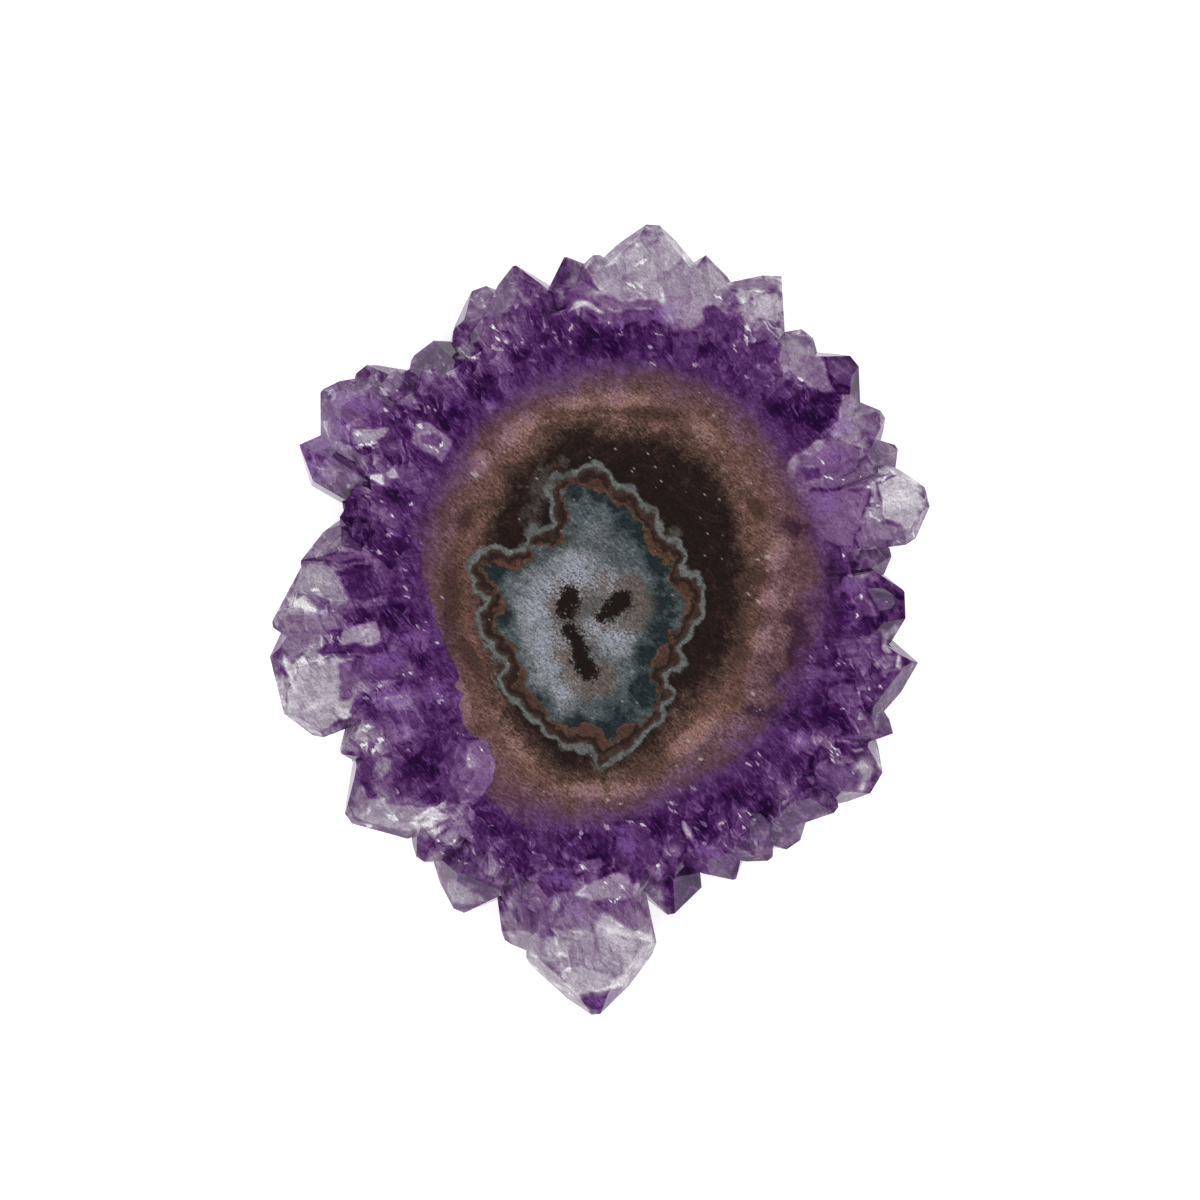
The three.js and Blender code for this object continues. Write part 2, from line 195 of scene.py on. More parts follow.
# The large crystals: bearing, reach, girth, level, lean, swing, roll, skew, ridge, as they grew, and then
# how pale the tip is and how light the whole crystal is.
LARGE_CRYSTALS = [
    (0.8, 24.2, 5.2, 5.0, 4, 1, 10, 1.2, 3.0, 0.25, 0.50),
    (12.5, 23.7, 2.6, 3.6, -4, 0, 18, 0.8, 1.0, 0.35, 0.45),
    (20.3, 27.6, 3.8, 5.4, -3, -7, 24, 1.2, 1.8, 1.00, 0.80),
    (29.5, 27.3, 3.6, 3.2, -10, -4, 5, 0.6, 1.0, 0.65, 0.45),
    (36.5, 27.7, 3.8, 4.9, 4, -3, 40, 0.8, 1.0, 0.70, 0.70),
    (45, 28.6, 4.6, 5.6, -2, -8, 16, 1.2, 1.6, 0.05, 0.15),
    (53.5, 28.0, 3.8, 4.4, -8, -4, 12, 0.8, 1.6, 0.75, 0.60),
    (62.5, 30.8, 4.3, 5.3, -4, -8, 52, 0.8, 0.0, 0.95, 0.75),
    (74, 30.2, 4.0, 4.2, 2, 6, 20, 1.2, 0.6, 0.90, 0.60),
    (83, 31.5, 6.4, 5.7, -2, 4, 33, 1.2, 1.4, 0.90, 0.70),
    (91, 28.9, 3.0, 5.6, 2, 4, 26, 0.8, 0.8, 0.40, 0.30),
    (95.5, 29.0, 3.2, 4.8, 4, 6, 3, 0.4, 0.6, 0.20, 0.25),
    (104.5, 29.0, 3.6, 4.6, 2, 4, 47, 0.6, 0.6, 0.20, 0.32),
    (110.5, 28.3, 3.4, 2.4, -10, -2, 27, 0.6, 1.2, 0.15, 0.28),
    (122.5, 26.1, 4.6, 1.6, -12, -1, 12, 0.8, 2.6, 0.20, 0.25),
    (134.5, 27.8, 3.8, 3.6, 2, -6, 36, 0.8, 1.2, 0.25, 0.35),
    (142, 28.8, 4.0, 4.6, -4, 6, 58, 0.8, 2.2, 0.15, 0.35),
    (149.8, 27.9, 2.9, 4.4, 3, -3, 9, 1.2, 0.8, 0.15, 0.45),
    (156.5, 22.8, 2.6, 4.0, 0, 0, 50, 1.0, 1.2, 0.10, 0.20),
    (163, 23.2, 2.8, 3.0, -6, 4, 33, 1.2, 0.8, 0.15, 0.25),
    (169.5, 24.5, 3.6, 5.0, 8, 6, 21, 1.4, 1.0, 0.35, 0.35),
    (179.5, 26.3, 5.4, 5.9, 2, 5, 0, 1.4, 2.2, 0.80, 0.60),
    (192, 26.4, 5.8, 5.7, -2, 2, 30, 1.6, 4.2, 0.85, 0.65),
    (207, 23.4, 3.2, 5.4, 2, -6, 22, 1.4, 1.0, 0.45, 0.45),
    (219.5, 25.8, 5.0, 4.9, -4, 0, 44, 1.4, 1.6, 0.75, 0.50),
    (233.5, 24.1, 3.0, 5.2, 3, 4, 38, 0.8, 1.0, 0.80, 0.70),
    (243.5, 26.2, 4.2, 3.0, -9, 0, 17, 0.8, 1.2, 0.60, 0.45),
    (259, 27.6, 2.8, 3.4, -6, 22, 8, 1.2, 0.4, 0.85, 0.60),
    (269.3, 31.6, 6.1, 5.0, -1, 6, 30, 1.4, 1.2, 0.90, 0.75),
    (284.2, 24.4, 3.0, 4.2, 6, -3, 50, 1.0, 1.2, 0.25, 0.20),
    (296.5, 23.4, 3.5, 4.6, -3, -4, 14, 1.0, 0.8, 0.20, 0.30),
    (304.5, 23.5, 2.8, 4.4, -3, 2, 14, 0.6, 0.8, 0.20, 0.30),
    (311, 23.9, 4.0, 2.6, -8, -4, 41, 1.0, 1.6, 0.35, 0.30),
    (319.5, 24.2, 3.8, 4.7, 2, 2, 6, 1.2, 1.6, 0.35, 0.50),
    (329, 25.6, 3.8, 4.1, -4, 0, 28, 1.0, 1.9, 0.40, 0.50),
    (338.5, 25.0, 2.6, 4.9, 4, 4, 55, 0.6, 0.0, 0.40, 0.35),
    (352, 25.4, 4.8, 5.2, -2, 14, 19, 1.6, 0.4, 0.30, 0.50),
]

# Small crystals fill the notches, in rings one above the other: level, lean and count.
SMALL_RINGS = [(0.4, -14, 36), (2.4, -5, 38), (4.5, 5, 38), (6.5, 14, 36)]
SMALL_GIRTH = (1.4, 3.0)
SMALL_SPREAD = {"level": 1.2, "lean": 16, "swing": 20, "roll": 60, "skew": 1.2, "ridge": 1.6}
UNEVEN_SPACING = 0.8
SMALL_SHORTFALL = 2.2
SEED = 20

# How pale the palest small tip is, and how light the small crystals are: at least, and how much more at most.
SMALL_PALE = 0.4
SMALL_LIGHT = 0.1
SMALL_LIGHT_SPREAD = 0.5

# Painted shade on the crystals' own faces: how much darker than the cut their colour is made.
PAINTED_RIM_SHADE = 0.22

# Painted shade on the lower faces seen through the cut: those that turn this way are painted brighter, as if
# the light came from this side, and each face a little by itself at random.
PAINTED_LIGHT_SIDE = np.array([-0.45, 0.6])
FACET_SCATTER = 1.1
FACET_SEED = 5
FACET_SEED_STEP = 97
FACING_DOWN = -0.02

# A face's crystal is looked up just behind the face. The growth lines differ from crystal to crystal, and
# change with height.
JUST_INSIDE = 0.05
GROWTH_STEP = 7.3
GROWTH_RISE = 0.5

# The marks below fade in between these heights.
UPPER_FADE = (2.0, 4.0)

# What shows in the quartz under the upper cut: x, y, length, width, and the angle of the length to +X.
VEILS = [
    (-22.2, 3.2, 4.0, 2.6, -30), (-23.4, 1.2, 3.2, 0.6, -18), (-22.0, 2.0, 2.0, 0.6, -30),
    (-18.8, -1.0, 3.6, 1.5, 12), (-22.4, -3.2, 3.8, 0.5, 18), (-24.3, -5.2, 1.6, 0.5, -80),
    (-24.4, -7.0, 1.8, 1.4, -40), (-20.3, -7.6, 2.2, 0.9, -15), (-22.6, -6.9, 2.6, 1.2, 20),
    (-14.3, -16.0, 5.4, 1.6, -18), (-16.6, -15.2, 2.6, 1.0, -30), (-12.0, -17.2, 2.4, 1.1, 20),
    (-3.0, -25.9, 2.6, 1.4, 55), (1.6, -25.2, 4.8, 1.8, -30), (2.4, -27.0, 2.6, 1.2, -45),
    (1.8, -28.6, 1.8, 1.3, 10), (-3.5, -22.6, 1.4, 1.0, 20), (1.2, -22.2, 1.6, 0.5, 30),
    (-1.5, -19.4, 1.2, 0.7, 10), (4.6, -19.8, 1.4, 0.5, 70), (-8.6, -20.0, 2.6, 1.6, 40),
    (6.8, -16.6, 1.9, 0.7, -70), (12.9, -16.9, 1.6, 1.0, -30), (11.4, -18.3, 2.2, 0.9, 20),
    (20.8, -11.6, 1.8, 1.1, 10), (21.0, -13.4, 1.1, 0.7, 0), (23.0, -1.9, 2.2, 1.1, -70),
    (23.8, -3.1, 1.6, 0.5, -75), (21.9, -3.5, 1.0, 0.9, 0), (17.0, 14.1, 2.0, 0.6, 25),
    (15.2, 12.0, 2.6, 0.9, 75), (20.8, 11.9, 2.6, 0.6, -25), (22.3, 11.8, 1.4, 0.7, 70),
    (12.8, 25.1, 2.8, 1.8, 40), (14.7, 25.0, 3.0, 0.7, -78), (2.7, 26.5, 1.9, 0.7, -40),
    (-1.3, 25.1, 2.2, 0.7, 10), (-3.1, 25.6, 1.6, 1.2, 0), (-6.4, 25.9, 2.2, 0.6, -55),
    (-10.6, 22.1, 1.8, 1.3, 0), (-10.8, 21.1, 3.0, 0.8, -25), (-13.4, 14.3, 2.9, 2.3, -45),
    (-18.1, 14.6, 3.4, 1.4, 8), (-16.3, 11.7, 1.6, 0.7, 60), (-17.1, -11.8, 2.0, 1.0, 75),
    (-10.4, -11.4, 3.2, 2.0, 60), (-8.7, -10.6, 2.2, 0.4, -60), (-8.5, -12.4, 2.2, 0.4, 80),
    (-11.2, -22.0, 2.6, 1.8, -20), (16.4, -16.9, 5.0, 0.8, 40), (23.6, 9.6, 3.6, 2.2, 10),
]

# Painted highlights where cracks catch the light: how pointed they are, and how far they count as away where
# there is none.
GLINT_POWER = 1.2
GLINT_FLOOR = -3.0
GLINTS = [
    (3.3, 28.4, 1.2, 0.4, 35), (4.9, 22.6, 1.6, 0.3, -12), (4.0, 21.6, 1.2, 0.3, -12),
    (-3.5, 22.3, 2.0, 0.5, -66), (-2.4, 22.0, 0.7, 0.5, 60), (-2.3, 23.2, 1.0, 0.3, 60),
    (0.6, 23.5, 1.0, 0.3, 55), (2.3, 26.7, 1.6, 0.3, -35), (9.4, 25.6, 1.0, 0.3, -30),
    (4.2, 20.3, 1.4, 0.3, -20), (7.5, 20.2, 0.6, 0.5, 0), (8.9, 16.2, 0.9, 0.4, 30), (1.7, 22.7, 0.5, 0.4, 0),
    (11.7, 23.1, 0.8, 0.4, -50), (10.7, 21.6, 0.8, 0.3, -60), (11.6, 19.3, 0.8, 0.3, -40),
    (13.2, 18.6, 0.6, 0.3, -40), (17.6, 12.5, 0.7, 0.3, -50), (17.9, 11.4, 1.4, 0.3, -20),
    (19.2, 11.2, 0.6, 0.3, -40), (20.8, 11.2, 1.0, 0.3, -60), (22.2, 11.9, 0.9, 0.4, -30),
    (22.5, 11.2, 0.7, 0.3, 40), (23.3, 11.7, 0.8, 0.3, -50), (22.0, 9.1, 0.5, 0.4, 0),
    (16.0, 19.0, 0.8, 0.3, -35), (11.6, 22.3, 1.4, 0.4, -80), (16.6, -3.0, 0.8, 0.5, 80),
    (16.6, -2.4, 0.6, 0.3, -50), (18.8, -3.5, 0.6, 0.4, 20), (19.4, -3.4, 0.6, 0.3, -60),
    (19.6, -3.1, 0.5, 0.2, -40), (17.9, -2.2, 0.5, 0.3, 0), (20.7, 1.8, 0.9, 0.3, -75),
    (20.4, 0.4, 0.7, 0.3, 60), (20.4, 4.2, 1.0, 0.3, -20), (19.3, 5.1, 0.8, 0.3, -60),
    (21.3, -5.4, 0.6, 0.3, -50), (22.2, -5.3, 0.6, 0.3, -50), (19.2, -7.0, 0.7, 0.3, -20),
    (22.6, 1.8, 1.6, 0.2, -68), (18.3, -10.5, 0.8, 0.3, -50), (18.9, -10.7, 1.0, 0.2, -50),
    (18.6, -10.2, 0.8, 0.2, -50), (18.5, -11.1, 0.9, 0.3, -50), (20.2, -12.2, 1.7, 0.2, -62),
    (21.4, -12.6, 1.0, 0.3, -40), (12.4, -16.3, 1.2, 0.3, -20), (13.9, -17.6, 0.6, 0.3, -40),
    (11.8, -15.3, 0.8, 0.3, -45), (11.1, -15.5, 0.7, 0.2, -50), (11.4, -16.4, 0.6, 0.3, -50),
    (8.3, -16.2, 1.0, 0.5, -30), (9.6, -16.1, 0.9, 0.4, 20), (8.0, -16.7, 0.6, 0.3, -50),
    (7.6, -16.5, 0.8, 0.2, -50), (8.3, -17.7, 0.5, 0.4, -50), (11.7, -11.4, 0.8, 0.3, -30),
    (12.5, -11.4, 0.7, 0.3, -50), (12.6, -10.6, 0.7, 0.2, -60), (0.5, -16.4, 0.9, 0.5, -30),
    (2.2, -15.9, 1.5, 0.3, -15), (3.4, -16.2, 0.6, 0.3, -20), (-1.5, -17.0, 1.3, 0.4, 78),
    (-1.4, -19.6, 0.8, 0.6, -45), (-0.7, -17.9, 1.6, 0.2, -65), (-5.3, -18.4, 0.5, 0.3, -30),
    (-5.3, -16.7, 0.5, 0.3, 60), (0.9, -19.6, 0.5, 0.4, 0), (6.0, -15.2, 0.7, 0.3, -50),
    (5.7, -14.5, 1.2, 0.3, -25), (5.5, -14.9, 1.6, 0.2, -50), (6.2, -13.3, 0.8, 0.3, -50),
    (7.3, -13.3, 1.1, 0.3, -40), (6.1, -14.6, 0.7, 0.3, -40), (4.0, -21.5, 0.9, 0.3, -60),
    (4.6, -19.4, 0.6, 0.3, 70), (1.8, -21.2, 0.7, 0.3, -50), (5.9, -23.2, 0.6, 0.3, -40),
    (1.4, -22.1, 1.3, 0.2, 40), (0.9, -22.3, 0.9, 0.2, -30), (0.4, -20.8, 0.5, 0.3, 0),
    (-6.8, -23.1, 0.6, 0.3, -50), (-5.7, -22.1, 1.1, 0.2, -42), (-2.4, -27.6, 0.4, 0.3, 0),
    (-9.4, -10.2, 0.7, 0.3, -60), (-10.4, -11.0, 0.8, 0.3, 10), (-11.1, -9.0, 0.6, 0.3, -20),
    (-15.2, -10.3, 0.7, 0.3, -50), (-17.4, -9.5, 0.7, 0.6, -30), (-18.0, -10.3, 1.0, 0.5, 15),
    (-18.9, -9.9, 0.9, 0.4, 0), (-18.4, -8.4, 0.7, 0.4, 0), (-15.1, -16.1, 0.5, 0.3, 0),
    (-16.4, -15.7, 1.0, 0.5, -20), (-14.2, -16.7, 1.7, 0.3, 0), (-12.9, -17.5, 0.9, 0.5, -10),
    (-11.5, -17.5, 0.7, 0.3, 30), (-11.0, -19.2, 1.1, 0.3, -12), (-12.5, -18.5, 1.2, 0.3, -62),
    (-8.0, -19.6, 1.0, 0.3, 10), (-8.6, -19.3, 0.6, 0.2, -40), (-8.6, -16.3, 1.0, 0.2, -10),
    (-17.7, -5.6, 0.8, 0.4, 60), (-17.4, -5.2, 0.8, 0.3, -20), (-18.4, -6.2, 0.7, 0.5, 0),
    (-15.1, -4.2, 0.6, 0.4, 0), (-15.6, -4.3, 0.6, 0.2, -50), (-16.0, -4.2, 0.5, 0.2, 0),
    (-13.4, -4.6, 0.7, 0.3, -60), (-12.7, -6.4, 0.8, 0.4, 0), (-12.6, -6.8, 0.5, 0.2, -30),
    (-12.7, -5.9, 0.9, 0.2, -30), (-14.5, -0.5, 0.9, 0.3, -50), (-14.0, -0.8, 0.6, 0.2, -20),
    (-13.7, -0.1, 0.8, 0.2, 20), (-16.4, -1.0, 0.7, 0.2, -70), (-12.9, -1.8, 0.6, 0.3, -20),
    (-12.3, -3.1, 0.6, 0.2, -50), (-15.4, 4.0, 0.6, 0.3, -40), (-15.4, 2.5, 0.9, 0.2, -50),
    (-15.4, 1.9, 0.9, 0.2, -30), (-17.6, 5.4, 0.9, 0.5, -10), (-16.2, 5.4, 0.7, 0.2, -50),
    (-22.6, 2.4, 0.8, 0.4, -10), (-22.9, 1.2, 0.7, 0.2, 30), (-21.2, -1.5, 1.3, 0.2, -70),
    (-20.7, -1.5, 1.1, 0.2, -70), (-12.5, 1.8, 0.9, 0.2, -50), (-24.4, -5.0, 0.9, 0.3, 88),
    (-17.0, -6.2, 0.9, 0.2, 20), (-19.1, 13.8, 1.0, 0.5, 10), (-18.1, 14.0, 1.0, 0.5, 10),
    (-19.2, 14.8, 0.7, 0.5, 0), (-17.3, 9.4, 1.0, 0.3, -25), (-18.4, 9.8, 0.9, 0.2, -25),
    (-16.0, 9.9, 0.6, 0.3, -30), (-15.0, 9.2, 0.7, 0.3, 60), (-16.4, 8.2, 0.6, 0.2, -40),
    (-12.5, 7.9, 0.6, 0.2, -40), (-13.9, 5.9, 1.0, 0.2, -40), (-16.7, 6.8, 0.9, 0.5, 5),
    (-15.1, 6.7, 0.5, 0.2, -40), (-20.5, 6.4, 0.6, 0.3, -35), (-19.6, 8.9, 0.6, 0.2, -40),
    (-12.1, 9.1, 0.5, 0.3, -40), (-13.0, 16.6, 0.7, 0.3, -35), (-13.6, 16.9, 0.6, 0.3, -35),
    (-16.9, 16.6, 1.4, 0.3, -35), (-10.7, 16.3, 0.8, 0.2, -60), (-17.0, 18.1, 1.0, 0.3, -10),
    (-16.2, 18.3, 0.9, 0.3, 10), (-22.3, 12.1, 1.3, 0.3, -35), (-22.8, 12.5, 1.7, 0.2, -35),
    (-14.3, 15.4, 1.0, 0.5, -55), (-13.3, 13.7, 1.7, 0.2, -35), (-12.6, 13.9, 1.0, 0.3, 70),
    (-10.2, 20.9, 1.9, 0.3, -20), (-11.2, 21.6, 1.0, 0.3, -32), (-12.8, 20.9, 0.6, 0.4, -60),
    (-12.6, 20.3, 0.8, 0.3, -50), (-12.3, 21.3, 0.6, 0.3, -40), (-8.4, 23.2, 1.1, 0.4, -60),
    (-8.0, 22.9, 0.9, 0.2, -50), (-8.1, 22.3, 0.7, 0.3, -50), (-7.5, 22.1, 1.0, 0.3, -42),
    (-6.1, 22.0, 0.9, 0.3, -70), (-6.6, 21.6, 0.7, 0.2, -50), (-4.5, 21.8, 0.9, 0.4, -50),
    (-5.5, 23.8, 0.8, 0.2, -60), (-9.9, 19.0, 3.0, 0.2, -48), (12.5, 1.5, 1.1, 0.4, -38),
    (11.7, 2.1, 0.9, 0.2, -40), (12.5, 4.8, 0.6, 0.3, -20), (13.3, 5.0, 0.8, 0.3, 20),
    (13.5, -1.8, 0.5, 0.2, -30), (12.1, -5.8, 0.6, 0.3, -35), (-10.0, 11.6, 1.3, 0.5, -25),
    (-9.3, 12.4, 0.7, 0.3, -45), (0.6, -14.3, 0.7, 0.5, 60), (0.4, -15.1, 0.7, 0.3, 0),
    (1.6, -14.6, 0.6, 0.3, 20), (7.0, -9.6, 0.6, 0.3, -60), (8.0, -11.0, 0.8, 0.3, 10),
    (9.0, -7.9, 0.7, 0.2, -30),
]

# Bright violet patches.
VIOLETS = [
    (-21.6, 14.4, 6.0, 4.8, 30), (-23.2, 12.2, 5.6, 3.6, -38), (-19.6, 17.4, 5.6, 2.6, -20),
    (-16.4, -6.4, 6.0, 3.6, -30), (-13.0, -5.6, 3.4, 2.0, -65), (-14.6, -1.4, 3.0, 1.6, 0),
    (-17.7, 17.2, 1.4, 1.1, 60), (-19.7, 11.5, 1.6, 1.3, 0), (-8.8, 17.1, 1.4, 0.6, -35),
    (-5.3, 20.6, 1.2, 0.4, 0), (-7.4, 22.2, 1.2, 0.4, -40), (18.5, 13.2, 3.0, 2.0, 10),
    (17.6, 9.2, 4.8, 3.4, 10), (19.2, 15.2, 2.6, 2.0, 20), (17.2, 19.3, 0.8, 0.7, 0),
    (-17.0, -3.2, 4.6, 2.2, 5), (-15.4, -8.8, 2.6, 1.8, 30), (-1.8, -23.2, 3.2, 1.8, -40),
    (-3.2, -20.6, 2.8, 1.8, 0), (0.2, -30.2, 3.0, 2.0, 10), (19.8, 2.7, 3.6, 1.8, 0),
    (20.2, -9.3, 2.4, 1.0, 8), (17.5, -11.4, 1.1, 0.9, 0), (2.4, -17.8, 3.0, 2.4, -60),
    (5.4, 24.4, 2.8, 1.8, 20), (15.6, -9.6, 2.6, 2.0, 40), (8.6, -18.4, 3.0, 1.4, -20),
]

# Deep dark patches.
DEEPS = [
    (-9.5, 18.7, 3.4, 2.4, -40), (-11.6, 16.3, 3.4, 2.4, 50), (-0.6, 22.4, 3.6, 2.6, 80),
    (-6.7, 20.9, 2.6, 1.4, 0), (-19.9, 9.1, 2.6, 1.8, 80), (-16.1, 9.9, 2.8, 1.4, 10),
    (-3.0, 27.3, 2.0, 1.1, 50), (-7.5, 26.4, 1.5, 0.8, -70), (9.8, 23.5, 2.9, 2.5, 0),
    (13.5, 21.2, 1.8, 1.8, 0), (18.0, 17.0, 2.4, 2.3, 0), (14.8, 16.5, 4.6, 3.0, -20),
    (1.0, 21.8, 3.4, 2.6, 0), (4.2, 24.2, 2.6, 1.8, 20), (8.3, 21.6, 1.8, 1.6, 0),
    (17.9, 21.3, 5.4, 1.1, -28), (-19.2, 3.0, 3.4, 2.4, 10), (-16.3, 0.4, 4.2, 2.2, 5),
    (-14.2, -3.2, 1.9, 1.7, 0), (-14.1, -11.7, 3.4, 2.8, 30), (-8.6, -16.6, 3.0, 1.6, 0),
    (-11.2, -18.6, 2.4, 1.8, 0), (19.0, 0.7, 3.0, 2.6, 0), (18.4, -7.6, 5.4, 3.0, -20),
    (15.4, -11.7, 4.0, 3.0, 0), (10.9, -14.1, 4.2, 2.4, 20), (4.8, -16.3, 3.8, 2.2, -65),
    (7.9, -16.4, 2.4, 2.4, 0), (6.1, -21.7, 3.0, 1.5, 80), (-11.7, -19.3, 2.6, 2.4, 0),
    (-2.6, -17.2, 3.0, 1.6, 0), (13.3, -14.7, 1.8, 1.6, 0), (20.4, -10.6, 2.2, 0.5, 5),
    (22.7, -9.0, 1.8, 0.5, -50), (-18.5, -13.6, 2.2, 0.9, -70), (18.4, 3.6, 1.6, 3.4, 0),
    (15.0, 0.2, 2.6, 2.0, 0), (15.2, 7.2, 2.6, 1.6, -30), (15.3, -1.6, 1.6, 2.2, 0),
    (14.6, -5.0, 2.4, 1.8, 0), (15.0, -7.4, 2.6, 1.8, 20),
]

# How soft the outlines of the shapes below are, and how far and how fast they waver.
SHAPE_SOFTNESS = 0.22
WAVER = 0.07
WAVER_PITCH = 3.1
WAVER_START = (0.4, 1.9)

